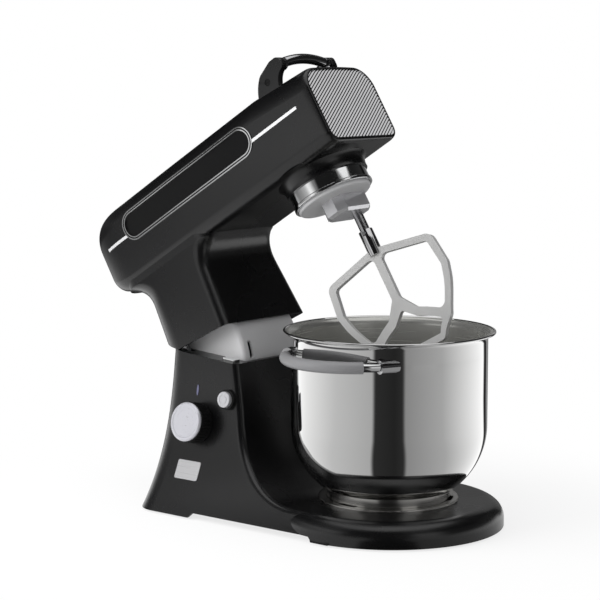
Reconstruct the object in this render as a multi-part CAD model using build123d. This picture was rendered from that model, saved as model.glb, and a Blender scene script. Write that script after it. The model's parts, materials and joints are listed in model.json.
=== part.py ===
from build123d import *
import os
from functools import cache
from math import asin, cos, pi, radians, sin, sqrt, tan

# Stand mixer with a tilting head, a planetary drive and a steel bowl, in millimetres.
# The origin is on the table below the bowl's axis, +X points to the front and +Z up.
# Head pieces are drawn with the head down, then raised by HEAD_TILT about the hinge.

# Fits and clearances
FIT = 0.02
RUNNING = 0.05
SLIP = 0.3
LOOSE = 0.6

# Bowl
BOWL_RADIUS = 105.5
BOWL_WALL = 1.2
BOWL_CURVE = 85.0
BOWL_CURVE_TOP = 110.4
BOWL_FLOOR = 41.2
BOWL_TOP = 212.0
LIP_RADIUS = 7.0
LIP_EDGE = 1.5
FOOT_RADIUS = 66.5
FOOT_WALL = 2.0
LUG_COUNT = 3
LUG_REACH = 3.0
LUG_HEIGHT = 2.5
LUG_ANGLE = 16.0
UNLOCK_TURN = 26.0
GRIP_HEIGHT = 188.0
GRIP_BEND = 70.5
GRIP_OFFSET = 59.5
GRIP_ANGLE = -93.5
GRIP_ROD = 4.8
GRIP_STEP = 1.0
GRIP_SLEEVE = 6.3
GRIP_SEAT_ANGLE = 18.2
GRIP_BARE_ANGLE = 40.5
GRIP_SOCKET = 7.2
GRIP_SOCKET_LENGTH = 10.5

# Base and column
WALL = 3.0
BASE_RADIUS = 124.5
BASE_HALF = 121.0
BASE_REAR = -265.0
BASE_DECK = 28.0
BASE_EDGE = 18.0
HULL_FRONT = 15.0
SKIRT_BOTTOM = 2.0
SKIRT_LIP = 9.0
ARCH_TOP = 7.0
ARCH_FRONT = -5.0
ARCH_REAR = -182.0
COLUMN_HALF = 72.0
COLUMN_REAR = -262.0
COLUMN_FRONT = -155.0
COLUMN_CORNER = 32.0
COLUMN_CREASE = 8.0
FRONT_FOOT = -119.5
FRONT_SWEEP = 98.0
SPLIT_FRONT_Z = 167.0
SPLIT_SLOPE = 4.8
SPLIT_GAP = 1.0
COVER_BOTTOM = 8.0
COVER_THICKNESS = 2.5
FOOT_PAD_RADIUS = 12.0
FOOT_PAD_EDGE = 1.5
FRONT_FOOT_INSET = 23.0
FRONT_FOOT_ANGLE = 45.0
REAR_FOOT_INSET = 41.0
REAR_FOOT_SPREAD = 60.0
FRONT_SCREW_INSET = 21.0
FRONT_SCREW_ANGLE = 35.2
SIDE_SCREW_INSET = 17.0
SIDE_SCREW_X = -70.0
REAR_SCREW_INSET = 40.0
SCREW_LENGTH = 11.0
SCREW_SHANK = 2.0
SCREW_HEAD = 4.0
SCREW_HEAD_HEIGHT = 2.0
BOSS_RADIUS = 5.5
BOARD_REAR = -225.0
BOARD_FRONT = -165.0
BOARD_HALF = 34.0
BOARD_EDGE = 6.0
BOARD_Z = 20.0
BOARD_THICKNESS = 1.6
BOARD_POST = 3.5

# Bowl seat in the base
SEAT_FLANGE = 75.6
SEAT_LIP = 3.0
SEAT_WALL = 2.0
SEAT_FLOOR = 2.5
SEAT_DEPTH = 3.5

# Hinge
HINGE_X = -238.0
HINGE_Z = 159.5
HEAD_TILT = 31.3
PIN_RADIUS = 6.0
PIN_HALF = 62.0
SHROUD_RADIUS = 78.0
SHROUD_HALF = 50.0
SHROUD_TOP = 228.0
SHROUD_REAR = -252.0
SHROUD_DEPTH = 24.0
SHROUD_WALL = 2.5
SHROUD_EDGE = 5.0
CATCH_LENGTH = 20.0
CATCH_WIDTH = 6.0
CATCH_INSET = 12.0
LUG_PLATE_INNER = 54.0
LUG_PLATE = 6.0
LUG_EYE = 10.0
LUG_HALF = 8.0
LUG_TOP = 240.0

# Controls on the left side of the column
KNOB_X = -201.0
KNOB_Z = 98.0
KNOB_RADIUS = 22.6
KNOB_DEPTH = 17.5
KNOB_CAP_RADIUS = 21.6
KNOB_CAP_DEPTH = 3.0
KNOB_GAP = 1.0
SPINDLE_RADIUS = 3.0
SWITCH_RADIUS = 14.0
SWITCH_DEPTH = 14.0
BUTTON_X = -160.0
BUTTON_Z = 128.0
BUTTON_RADIUS = 8.8
BUTTON_OUT = 9.5
BUTTON_TRAVEL = 4.5
COLLAR_WALL = 2.2
COLLAR_OUT = 5.5
COLLAR_IN = 14.0
STEM_RADIUS = 3.2
STEM_LENGTH = 30.0
LENS_X = -206.0
LENS_Z = 134.0
LENS_WIDTH = 2.8
LENS_HEIGHT = 12.0
PLATE_X = -201.0
PLATE_Z = 48.0
PLATE_WIDTH = 33.0
PLATE_HEIGHT = 19.5
PLATE_THICKNESS = 0.7
TONGUE_LENGTH = 18.0
TONGUE_WIDTH = 11.0
TONGUE_THICKNESS = 2.5
TONGUE_X = -171.0
TONGUE_Y = -61.5
GLAND_Z = 24.0
GLAND_RADIUS = 7.0
GLAND_BORE = 3.6

# Head
HEAD_REAR = -307.0
HEAD_FRONT = 71.0
HEAD_BOTTOM = 268.5
HEAD_TOP = 365.0
HEAD_DROP = 7.5
HEAD_DROP_START = -12.0
HEAD_CROWN = 2.5
HEAD_HALF = 63.0
HEAD_FRONT_HALF = 59.4
HEAD_TOP_CORNER = 26.0
HEAD_LOW_CORNER = 14.0
TAIL_LENGTH = 48.0
TAIL_SIDE = 26.0
TAIL_DROP = 20.0
TAIL_RISE = 24.0
PARTING = 323.3
BEZEL_DEPTH = 9.0
NECK_TOP = 285.5
NECK_FLARE_START = 238.0
NECK_FLARE_END = 270.0
NECK_FLARE_FRONT = 34.0
NECK_FLARE_REAR = 30.0
CHIN_RADIUS = 47.0
CHIN_BOTTOM = 254.0
CHIN_FLARE = 11.0
TRIM_HEIGHT = 3.4
TRIM_PROUD = 0.6
TRIM_DEPTH = 1.4
TRIM_REAR = -279.0
TRIM_FRONT = 47.0
SLOT_LENGTH = 221.0
SLOT_HEIGHT = 36.0
SLOT_X = -133.0
SLOT_Z = 330.0
SLOT_FRAME = 4.2
SLOT_PROUD = 0.9
SLOT_SUNK = 1.2
FACE_MARGIN = 3.0
FACE_THICKNESS = 3.0
FACE_PROUD = 0.6
RIB_PITCH = 3.15
RIB_DEPTH = 0.7
RIB_ANGLE = 34.3

# Lifting handle on the head
HANDLE_HALF = 48.0
HANDLE_ARM = 8.0
HANDLE_BASE_REAR = -2.3
HANDLE_BASE_FRONT = 30.2
HANDLE_SHOULDER_X = 12.0
HANDLE_X = 38.0
HANDLE_Z = 382.0
HANDLE_KNEE = 4.0
HANDLE_LAND = 1.3
HANDLE_ROUND = 6.0
HANDLE_GRIP = 5.5
HANDLE_ARCH = 5.5
HANDLE_LEAN = 2.0
HANDLE_COLLAR = 7.0
HANDLE_COLLAR_LENGTH = 5.0

# Planetary drive
GEAR_MODULE = 1.2
RING_TEETH = 58
PLANET_TEETH = 18
ORBIT = GEAR_MODULE * (RING_TEETH - PLANET_TEETH) / 2
ORBIT_ANGLE = 86.0
COLLAR_RADIUS = 45.5
COLLAR_BOTTOM = 237.0
COLLAR_BORE = 42.6
RING_OUTER = 41.5
GEAR_FACE = 10.0
CARRIER_RADIUS = 42.0
CARRIER_BOTTOM = 233.0
CARRIER_THICKNESS = 7.0
CARRIER_HUB = 12.0
PLANET_BOSS = 9.0
BLOCK_BOTTOM = 214.0
BLOCK_WIDTH = 34.0
BLOCK_OVERHANG = 15.0
BLOCK_CORNER = 9.0
BLOCK_BEVEL = 3.0
MAIN_SHAFT = 7.0
OUTPUT_SHAFT = 5.5
MAIN_TEETH = 60
PINION_TEETH = 12
DRIVE_MODULE = 1.25
LAYSHAFT = 4.0
LAYSHAFT_X = -DRIVE_MODULE * (MAIN_TEETH + PINION_TEETH) / 2
MAIN_BEARING = 14.0
SMALL_BEARING = 8.0
SMALL_BEARING_HEIGHT = 4.0
CHASSIS_BOTTOM = 302.0
CHASSIS_THICKNESS = 4.0
CHASSIS_HALF = 50.0
CHASSIS_REAR = -250.0
CHASSIS_FRONT = 57.0
POST_RADIUS = 5.0
CHASSIS_POSTS = [(-112, 40), (-70, 40), (52, 36)]
PULLEY_BOTTOM = 310.0
PULLEY_HEIGHT = 12.0
BIG_PULLEY = 32.0
SMALL_PULLEY = 8.0
PULLEY_FLANGE = 2.0
BELT_THICKNESS = 2.0
BELT_WIDTH = 8.6

# Motor
MOTOR_X = -203.0
MOTOR_RADIUS = 38.0
MOTOR_BOTTOM = 250.0
MOTOR_WALL = 3.0
STATOR_BORE = 24.0
AIR_GAP = 0.7
FAN_RADIUS = 30.0
FAN_HEIGHT = 7.0

# Flat beater
BEATER_HALF = 70.0
BEATER_TOP = 171.0
BEATER_SHOULDER = 156.0
BEATER_WAIST = 120.0
BEATER_FORK = 105.0
BEATER_BOTTOM = 46.0
BEATER_BAR = 7.5
BEATER_SPINE = 9.0
BEATER_ROUND = 10.0
BEATER_WEB = 6.0
BEATER_THICKNESS = 9.0
BEATER_YAW = 18.0
SOCKET_TOP = 193.0
SOCKET_RADIUS = 8.0
SOCKET_BORE_DEPTH = 27.0
DRIVE_PIN = 2.0

UPRIGHT = (Align.CENTER, Align.CENTER, Align.MIN)
HINGE_AXIS = Axis((HINGE_X, 0, HINGE_Z), (0, -1, 0))
FAR = 400.0


# Shared helpers

def rod(radius, low, high, x=0, y=0):
    """Upright cylinder between two heights."""
    return Pos(x, y, low) * Cylinder(radius, high - low, align=UPRIGHT)


def ring(outer, inner, low, high, x=0, y=0):
    """Upright tube between two heights."""
    return rod(outer, low, high, x, y) - rod(inner, low - 1, high + 1, x, y)


def cross_rod(radius, x, z, y_low, y_high):
    """Cylinder along Y."""
    return Pos(x, y_high, z) * Rot(90, 0, 0) * Cylinder(radius, y_high - y_low, align=UPRIGHT)


def slab(x_low, x_high, z_low, z_high):
    """Wide block between two X places and two heights."""
    return Pos((x_low + x_high) / 2, 0, z_low) * Box(x_high - x_low, FAR, z_high - z_low, align=UPRIGHT)


def polygon(*points):
    """Closed flat outline."""
    return make_face(Polyline(*points, close=True))


def side_prism(outline, half):
    """Outline drawn in X and Z, extruded to both sides of the middle plane."""
    return extrude(Plane.XZ * outline, half, both=True)


def both_sides(shape):
    """The shape on the left and its mirror image on the right."""
    return [shape, mirror(shape, Plane.XZ)]


def group(shapes):
    """Several separate solids kept in one piece."""
    return Compound([solid for shape in shapes for solid in shape.solids()])


def raised(shape):
    """A head piece turned from the lowered to the raised position."""
    return shape.rotate(HINGE_AXIS, HEAD_TILT)


# Stand

def split_z(x):
    """Height of the sloping joint between column and head at a given X."""
    return SPLIT_FRONT_Z + (COLUMN_FRONT - x) * tan(radians(SPLIT_SLOPE))


def flare(z):
    """How far down the column's flare a height lies: 0 at the joint, 1 at the base's lip."""
    return (split_z(COLUMN_REAR) - z) / (split_z(COLUMN_REAR) - SKIRT_LIP)


def column_half(z):
    """Half the column's width at a height."""
    u = flare(z)
    return COLUMN_HALF + (BASE_HALF - COLUMN_HALF) * (0.4 * u + 0.6 * u**3)


def column_rear(z):
    """X of the column's rear face at a height."""
    return COLUMN_REAR + (BASE_REAR - COLUMN_REAR) * max(flare(z), 0) ** 3


def hull_section(z, half, rear):
    """Plan of the stand at one height, open to the front, with round rear corners."""
    length = HULL_FRONT - rear
    outline = Pos(rear + length / 2, 0) * Rectangle(length, 2 * half)
    corners = outline.vertices().sort_by(Axis.X)[:2]
    return Pos(0, 0, z) * fillet(corners, COLUMN_CORNER)


@cache
def stand_hull(grow=0.0):
    """The flared outer form of column and base, before its front is cut."""
    low = SKIRT_BOTTOM - 4
    high = split_z(COLUMN_REAR) + 4
    steps = 8
    heights = [low + (high - low) * k / steps for k in range(steps + 1)]
    return loft([hull_section(z, column_half(z) + grow, column_rear(z) - grow) for z in heights])


def stand_outline(grow=0.0):
    """Side view of the stand: sloping top, leaning front and the sweep down to the deck."""
    rear = BASE_REAR - 20
    points = [(rear, -40), (rear, split_z(rear)), (COLUMN_FRONT, SPLIT_FRONT_Z)]
    points += [(FRONT_FOOT, BASE_DECK), (2 * HULL_FRONT, BASE_DECK), (2 * HULL_FRONT, -40)]
    outline = polygon(*points)
    foot = outline.vertices().sort_by_distance((FRONT_FOOT, BASE_DECK, 0))[0]
    outline = fillet(foot, FRONT_SWEEP)
    return offset(outline, grow, kind=Kind.INTERSECTION) if grow else outline


@cache
def stand_form():
    """Outer form of the stand with its front crease rounded."""
    body = stand_hull() & side_prism(stand_outline(), FAR)
    body = split(body, Plane.XY.offset(SKIRT_BOTTOM), keep=Keep.TOP)

    def is_crease(edge):
        low = edge.bounding_box().min
        beside = abs(edge.center().Y) > COLUMN_HALF / 2
        return beside and low.X > COLUMN_FRONT - 1 and low.Z > BASE_DECK - 1

    body = fillet(body.edges().filter_by(is_crease), COLUMN_CREASE)
    disc = rod(BASE_RADIUS, SKIRT_BOTTOM, BASE_DECK)
    disc = fillet(disc.edges().sort_by(Axis.Z)[-1], BASE_EDGE)
    return body + disc


@cache
def stand_cavity():
    """Hollow inside the stand, open at the bottom."""
    column = stand_hull(-WALL) & side_prism(stand_outline(-WALL), FAR)
    disc = rod(BASE_RADIUS - WALL, -FAR, BASE_DECK - WALL)
    return column + fillet(disc.edges().sort_by(Axis.Z)[-1], BASE_EDGE - WALL)


def side_frame(x, z):
    """Plane on the column's left side: its Z axis points straight out of the wall."""
    step = 0.5
    slope = (column_half(z - step) - column_half(z + step)) / (2 * step)
    return Plane(origin=(x, -column_half(z), z), x_dir=(1, 0, 0), z_dir=(0, -1, slope))


def on_side(frame, shape):
    """A control drawn about its own axis, placed on the column's side."""
    return frame.location * shape


def mirrored(places):
    """Places on the left and on the right of the middle plane."""
    return [(x, side * y) for x, y in places for side in (-1, 1)]


def on_rim(inset, angle):
    """Place at a distance inside the base's round front, at an angle from straight ahead."""
    radius = BASE_RADIUS - inset
    return radius * cos(radians(angle)), radius * sin(radians(angle))


def cover_screw_places():
    """Places of the screws in the bottom cover."""
    front = on_rim(FRONT_SCREW_INSET, FRONT_SCREW_ANGLE)
    side = (SIDE_SCREW_X, BASE_HALF - SIDE_SCREW_INSET)
    rear = (BASE_REAR + REAR_SCREW_INSET, BASE_HALF - REAR_SCREW_INSET)
    return mirrored([front, side, rear])


def foot_places():
    """Places of the rubber feet: four at the corners and one below the bowl."""
    front = on_rim(FRONT_FOOT_INSET, FRONT_FOOT_ANGLE)
    rear = (BASE_REAR + REAR_FOOT_INSET, REAR_FOOT_SPREAD)
    return mirrored([front, rear]) + [(0, 0)]


def board_post_places():
    """Places of the posts that carry the control board."""
    return mirrored([(BOARD_REAR, BOARD_HALF), (BOARD_FRONT, BOARD_HALF)])


def deck_opening(clearance):
    """Room in the column's top for the hinge shroud and the head's two hinge plates."""
    front = HINGE_X + SHROUD_RADIUS + clearance
    rear = SHROUD_REAR - clearance
    height = split_z(rear) - HINGE_Z + 20
    shroud = Pos((front + rear) / 2, 0, HINGE_Z) * Box(
        front - rear, 2 * (SHROUD_HALF + clearance), height, align=UPRIGHT)
    reach = LUG_HALF + LOOSE
    swing = reach + height * tan(radians(HEAD_TILT)) / 2
    middle = LUG_PLATE_INNER + LUG_PLATE / 2
    slots = [
        Pos(HINGE_X + (reach - swing) / 2, side * middle, HINGE_Z)
        * Box(reach + swing, LUG_PLATE + 2 * LOOSE, height, align=UPRIGHT)
        for side in (-1, 1)
    ]
    return shroud + slots


def stand_housing():
    """Column and base in one hollow casing."""
    form = stand_form()
    cover_top = COVER_BOTTOM + COVER_THICKNESS
    bosses = [rod(BOSS_RADIUS, cover_top, FAR, x, y) for x, y in cover_screw_places()]
    casing = form - stand_cavity() + ((Part() + bosses) & form)
    low = SKIRT_BOTTOM - 3
    arch_ends = [(ARCH_REAR, low), (ARCH_REAR + ARCH_TOP, ARCH_TOP)]
    arch_ends += [(ARCH_FRONT - ARCH_TOP, ARCH_TOP), (ARCH_FRONT, low)]
    casing -= side_prism(polygon(*arch_ends), FAR)
    casing -= rod(seat_body_radius() + SLIP, BASE_DECK - 2 * WALL, BASE_DECK + 1)
    casing -= rod(SEAT_FLANGE + SLIP, BASE_DECK, BASE_DECK + 4 * SEAT_LIP)
    casing -= deck_opening(SLIP)
    knob_hole = Cylinder(SPINDLE_RADIUS + LOOSE, 6 * WALL)
    casing -= on_side(side_frame(KNOB_X, KNOB_Z), knob_hole)
    button_hole = Cylinder(BUTTON_RADIUS + RUNNING + COLLAR_WALL + FIT, 6 * WALL)
    casing -= on_side(side_frame(BUTTON_X, BUTTON_Z), button_hole)
    casing -= lens_prism(FIT)
    casing -= gland_rod(GLAND_RADIUS + FIT, 40)
    screw_top = COVER_BOTTOM + SCREW_LENGTH + 1
    return casing - (Part() + [rod(SCREW_SHANK + FIT, 0, screw_top, x, y) for x, y in cover_screw_places()])


def bottom_cover():
    """Plate that closes the base from below, with posts for the control board."""
    top = COVER_BOTTOM + COVER_THICKNESS
    inside = stand_hull(-WALL - SLIP) + rod(BASE_RADIUS - WALL - SLIP, 0, BASE_DECK)
    plate = slab(-FAR, FAR, COVER_BOTTOM, top) & inside & stand_cavity()
    plate += [rod(BOARD_POST, top, BOARD_Z, x, y) for x, y in board_post_places()]
    holes = [rod(SCREW_SHANK + FIT, 0, top + 1, x, y) for x, y in cover_screw_places()]
    return plate - (Part() + holes)


def control_board():
    """Motor control board with its main parts, on four posts inside the base."""
    middle = (BOARD_REAR + BOARD_FRONT) / 2
    length = BOARD_FRONT - BOARD_REAR + 2 * BOARD_EDGE
    width = 2 * (BOARD_HALF + BOARD_EDGE)
    board = Pos(middle, 0, BOARD_Z) * Box(length, width, BOARD_THICKNESS, align=UPRIGHT)
    top = BOARD_Z + BOARD_THICKNESS
    heat_sink = Pos(middle - 14, 12, top) * Box(24, 16, 18, align=UPRIGHT)
    capacitor = rod(7, top, top + 22, middle + 14, -14)
    coil = rod(9, top, top + 14, middle + 12, 16)
    return board + heat_sink + capacitor + coil


def rubber_feet():
    """Pads that the mixer stands on: four at the corners and one below the bowl."""
    pads = []
    for x, y in foot_places():
        pad = rod(FOOT_PAD_RADIUS, 0, COVER_BOTTOM, x, y)
        pads.append(fillet(pad.edges().sort_by(Axis.Z)[0], FOOT_PAD_EDGE))
    return group(pads)


def cover_screws():
    """Screws that hold the bottom cover."""
    screws = []
    for x, y in cover_screw_places():
        head = rod(SCREW_HEAD, COVER_BOTTOM - SCREW_HEAD_HEIGHT, COVER_BOTTOM, x, y)
        screws.append(head + rod(SCREW_SHANK, COVER_BOTTOM, COVER_BOTTOM + SCREW_LENGTH, x, y))
    return group(screws)


def gland_rod(radius, length):
    """Cylinder along X through the rear wall at the cord's place."""
    rear = column_rear(GLAND_Z)
    return Pos(rear - 3, 0, GLAND_Z) * Rot(0, 90, 0) * Cylinder(radius, length, align=UPRIGHT)


def cord_gland():
    """Bush in the rear wall where a supply cord enters."""
    rear = column_rear(GLAND_Z)
    flange = Pos(rear - 3, 0, GLAND_Z) * Rot(0, 90, 0) * Cylinder(GLAND_RADIUS + 2.5, 12, align=UPRIGHT)
    bush = (flange - stand_form()) + gland_rod(GLAND_RADIUS, 14)
    return bush - gland_rod(GLAND_BORE, 60)


def lens_prism(grow):
    """Leaf-shaped window for the power light, through the left wall."""
    outline = Pos(LENS_X, LENS_Z) * Ellipse(LENS_WIDTH / 2 + grow, LENS_HEIGHT / 2 + grow)
    return extrude(Plane.XZ * outline, FAR)


def indicator_lens():
    """Light pipe of the power light, just proud of the wall."""
    return lens_prism(0) & (stand_hull(0.5) - stand_hull(-WALL))


def name_plate():
    """Bare metal plate on the flare of the column."""
    outline = Pos(PLATE_X, PLATE_Z) * RectangleRounded(PLATE_WIDTH, PLATE_HEIGHT, 2)
    return extrude(Plane.XZ * outline, FAR) & (stand_hull(PLATE_THICKNESS) - stand_hull(RUNNING))


def seat_body_radius():
    """Outside of the bowl seat below its flange."""
    return FOOT_RADIUS + LUG_REACH + LOOSE + SEAT_WALL


def seat_floor_top():
    """Height of the seat's floor, which carries the bowl."""
    return BASE_DECK - SEAT_DEPTH


def bowl_seat():
    """Bayonet ring in the base: the bowl's lugs drop through its gaps and turn under its lip."""
    top = BASE_DECK + SEAT_LIP
    floor = seat_floor_top()
    body = rod(seat_body_radius(), floor - SEAT_FLOOR, top) + rod(SEAT_FLANGE, BASE_DECK, top)
    body = fillet(body.edges().filter_by(GeomType.CIRCLE).sort_by(Axis.Z)[-1], 1.2)
    body -= rod(FOOT_RADIUS + LUG_REACH + LOOSE, floor, floor + LUG_HEIGHT + 1)
    body -= rod(FOOT_RADIUS + LOOSE, floor, top + 1)
    gap_width = 2 * (FOOT_RADIUS + LUG_REACH) * sin(radians(LUG_ANGLE / 2 + 2))
    reach = FOOT_RADIUS + LUG_REACH + LOOSE
    gap = Pos(reach / 2, 0, floor) * Box(reach, gap_width, FAR, align=UPRIGHT)
    gap &= rod(reach, floor, FAR)
    for k in range(LUG_COUNT):
        body -= Rot(0, 0, k * 360 / LUG_COUNT + UNLOCK_TURN) * gap
    return body


# Hinge

def shroud_outline():
    """Side view of the hinge shroud: its front is an arc about the hinge."""
    bottom = HINGE_Z - SHROUD_DEPTH
    front_low = HINGE_X + sqrt(SHROUD_RADIUS**2 - SHROUD_DEPTH**2)
    front_top = HINGE_X + sqrt(SHROUD_RADIUS**2 - (SHROUD_TOP - HINGE_Z) ** 2)
    middle_angle = (asin((SHROUD_TOP - HINGE_Z) / SHROUD_RADIUS) - asin(SHROUD_DEPTH / SHROUD_RADIUS)) / 2
    middle = (HINGE_X + SHROUD_RADIUS * cos(middle_angle), HINGE_Z + SHROUD_RADIUS * sin(middle_angle))
    shoulder = split_z(SHROUD_REAR) + 14
    arc = ThreePointArc((front_low, bottom), middle, (front_top, SHROUD_TOP))
    rest = Polyline((front_top, SHROUD_TOP), (HINGE_X + 8, SHROUD_TOP), (SHROUD_REAR, shoulder),
                    (SHROUD_REAR, bottom), (front_low, bottom))
    return make_face(arc.edges() + rest.edges())


def hinge_housing():
    """Grey shroud that carries the hinge pin and closes the gap below the raised head."""
    shell = side_prism(shroud_outline(), SHROUD_HALF)
    front = shell.faces().filter_by(GeomType.CYLINDER).sort_by(Axis.X)[-1]
    long_edges = [edge for edge in front.edges() if abs(edge.center().Y) > SHROUD_HALF / 2]
    shell = fillet(long_edges, SHROUD_EDGE)
    hollow = offset(shroud_outline(), -SHROUD_WALL, kind=Kind.INTERSECTION)
    hollow_prism = side_prism(hollow, SHROUD_HALF - SHROUD_WALL)
    shell -= hollow_prism + Pos(0, 0, -2 * SHROUD_WALL) * hollow_prism
    eye = PIN_RADIUS + 5
    shell += both_sides(cross_rod(eye, HINGE_X, HINGE_Z, -SHROUD_HALF, -SHROUD_HALF + 16))
    shell -= cross_rod(PIN_RADIUS + FIT, HINGE_X, HINGE_Z, -FAR, FAR)
    return shell - shroud_slot()


def shroud_slot():
    """Upright slot with round ends in the front of the shroud, for the lock's catch."""
    slot = extrude(SlotOverall(CATCH_LENGTH, CATCH_WIDTH), 3 * SHROUD_WALL, both=True)
    place = Pos(HINGE_X + SHROUD_RADIUS, CATCH_INSET - SHROUD_HALF, split_z(COLUMN_FRONT) + CATCH_INSET)
    return place * Rot(0, 90, 0) * slot


def hinge_pin():
    """Steel pin through the shroud and the head's hinge plates."""
    pin = cross_rod(PIN_RADIUS, HINGE_X, HINGE_Z, -PIN_HALF, PIN_HALF)
    return chamfer(pin.edges(), 0.8)


def hinge_lugs():
    """Two steel plates, screwed inside the head's neck, that turn on the hinge pin."""
    eye = Pos(HINGE_X, HINGE_Z) * Circle(LUG_EYE)
    arm = Pos(HINGE_X, (HINGE_Z + LUG_TOP) / 2) * Rectangle(2 * LUG_HALF, LUG_TOP - HINGE_Z)
    plate = extrude(Plane.XZ.offset(LUG_PLATE_INNER) * (eye + arm), LUG_PLATE)
    outer = -LUG_PLATE_INNER - LUG_PLATE
    pads = [cross_rod(LUG_HALF - 1, HINGE_X, z, -FAR, outer) for z in (LUG_TOP - 10, LUG_TOP - 36)]
    plate = (plate + pads) & neck_form(-WALL)
    plate -= cross_rod(PIN_RADIUS + RUNNING, HINGE_X, HINGE_Z, -FAR, FAR)
    return group(both_sides(plate))


# Controls

def knob_body():
    """Black body of the speed knob with the spindle that it turns."""
    frame = side_frame(KNOB_X, KNOB_Z)
    body = Pos(0, 0, KNOB_GAP) * Cylinder(KNOB_RADIUS, KNOB_DEPTH, align=UPRIGHT)
    body = fillet(body.edges().sort_by(Axis.Z)[-1], 0.8)
    grooves = [
        Rot(0, 0, k * 10) * Pos(KNOB_RADIUS, 0, KNOB_GAP + 3) * Cylinder(0.6, KNOB_DEPTH, align=UPRIGHT)
        for k in range(36)
    ]
    spindle = Pos(0, 0, -WALL - SWITCH_DEPTH / 2) * Cylinder(
        SPINDLE_RADIUS, WALL + SWITCH_DEPTH / 2 + KNOB_GAP + 1, align=UPRIGHT)
    return on_side(frame, body - (Part() + grooves) + spindle)


def knob_cap():
    """Silver disc on the knob's face, slightly dished, with a pointer groove."""
    low = KNOB_GAP + KNOB_DEPTH
    cap = Pos(0, 0, low) * Cylinder(KNOB_CAP_RADIUS, KNOB_CAP_DEPTH, align=UPRIGHT)
    cap = fillet(cap.edges().sort_by(Axis.Z)[-1], 1.2)
    dish_radius = 260.0
    dish = Pos(0, 0, low + KNOB_CAP_DEPTH + dish_radius - 0.5) * Sphere(dish_radius)
    pointer = Pos(0, KNOB_CAP_RADIUS - 5.5, low + KNOB_CAP_DEPTH) * Box(1.6, 7, 1.6)
    return on_side(side_frame(KNOB_X, KNOB_Z), cap - dish - pointer)


def speed_switch():
    """Rotary speed control inside the wall, round the knob's spindle."""
    frame = side_frame(KNOB_X, KNOB_Z)
    depth = WALL + SWITCH_DEPTH
    body = Pos(0, 0, -depth) * Cylinder(SWITCH_RADIUS, depth, align=UPRIGHT)
    bore = Cylinder(SPINDLE_RADIUS + RUNNING, FAR, align=UPRIGHT)
    body -= Pos(0, 0, -WALL - SWITCH_DEPTH / 2 - LOOSE) * bore
    return on_side(frame, body) & stand_hull(-WALL)


def button_collar():
    """Black cup round the release button, pressed into the wall."""
    bore = BUTTON_RADIUS + RUNNING
    outer = bore + COLLAR_WALL
    cup = Pos(0, 0, -COLLAR_IN) * Cylinder(outer, COLLAR_IN + COLLAR_OUT, align=UPRIGHT)
    cup = fillet(cup.edges().sort_by(Axis.Z)[-1], 1.0)
    cup -= Pos(0, 0, -COLLAR_IN + 2) * Cylinder(bore, FAR, align=UPRIGHT)
    cup -= Cylinder(STEM_RADIUS + RUNNING, FAR)
    return on_side(side_frame(BUTTON_X, BUTTON_Z), cup)


def button_cap():
    """Silver cap of the head release button with a ring groove in its face."""
    cap = Cylinder(BUTTON_RADIUS, BUTTON_OUT, align=UPRIGHT)
    cap = fillet(cap.edges().sort_by(Axis.Z)[-1], 1.0)
    groove = ring(BUTTON_RADIUS * 0.62, BUTTON_RADIUS * 0.5, BUTTON_OUT - 0.4, FAR)
    return on_side(side_frame(BUTTON_X, BUTTON_Z), cap - groove)


def button_stem():
    """Stem that carries the button's push to the lock, with its stop disc."""
    stem = Pos(0, 0, -STEM_LENGTH) * Cylinder(STEM_RADIUS, STEM_LENGTH, align=UPRIGHT)
    stop = Pos(0, 0, -STEM_LENGTH) * Cylinder(STEM_RADIUS + 3, 2, align=UPRIGHT)
    return on_side(side_frame(BUTTON_X, BUTTON_Z), stem + stop)


def button_spring():
    """Return spring between the collar's floor and the button's cap."""
    wire = 0.8
    turns = 4
    bottom = -COLLAR_IN + 2 + wire
    length = -bottom - wire - RUNNING
    path = Helix(pitch=length / turns, height=length, radius=STEM_RADIUS + 2.2)
    start = Plane(origin=path @ 0, z_dir=path % 0)
    coil = sweep(start * Circle(wire), path)
    return on_side(side_frame(BUTTON_X, BUTTON_Z), Pos(0, 0, bottom) * coil)


def lock_tongue():
    """Steel tongue on the column's top that locks the lowered head."""
    lift = TONGUE_THICKNESS / 2 + RUNNING
    tongue = Box(TONGUE_LENGTH, TONGUE_WIDTH, TONGUE_THICKNESS)
    tongue = fillet(tongue.edges().filter_by(Axis.Z), 2)
    return Pos(TONGUE_X, TONGUE_Y, split_z(TONGUE_X)) * Rot(0, SPLIT_SLOPE, 0) * Pos(0, 0, lift) * tongue


# Bowl

def bowl_outline(grow, top):
    """Half section of the bowl's solid form, up to a height."""
    radius = BOWL_RADIUS + grow
    curve = BOWL_CURVE + grow
    floor = BOWL_FLOOR - grow
    centre = BOWL_RADIUS - BOWL_CURVE
    drop = BOWL_CURVE_TOP - floor
    floor_radius = centre + sqrt(curve**2 - drop**2)
    turn = asin(drop / curve) / 2
    middle = (centre + curve * cos(turn), BOWL_CURVE_TOP - curve * sin(turn))
    arc = ThreePointArc((floor_radius, floor), middle, (radius, BOWL_CURVE_TOP))
    wall = Polyline((radius, BOWL_CURVE_TOP), (radius, top), (0, top), (0, floor), (floor_radius, floor))
    return make_face(arc.edges() + wall.edges())


@cache
def bowl_form():
    """Solid inside the bowl's outer surface."""
    return revolve(Plane.XZ * bowl_outline(0, BOWL_TOP), Axis.Z)


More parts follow.
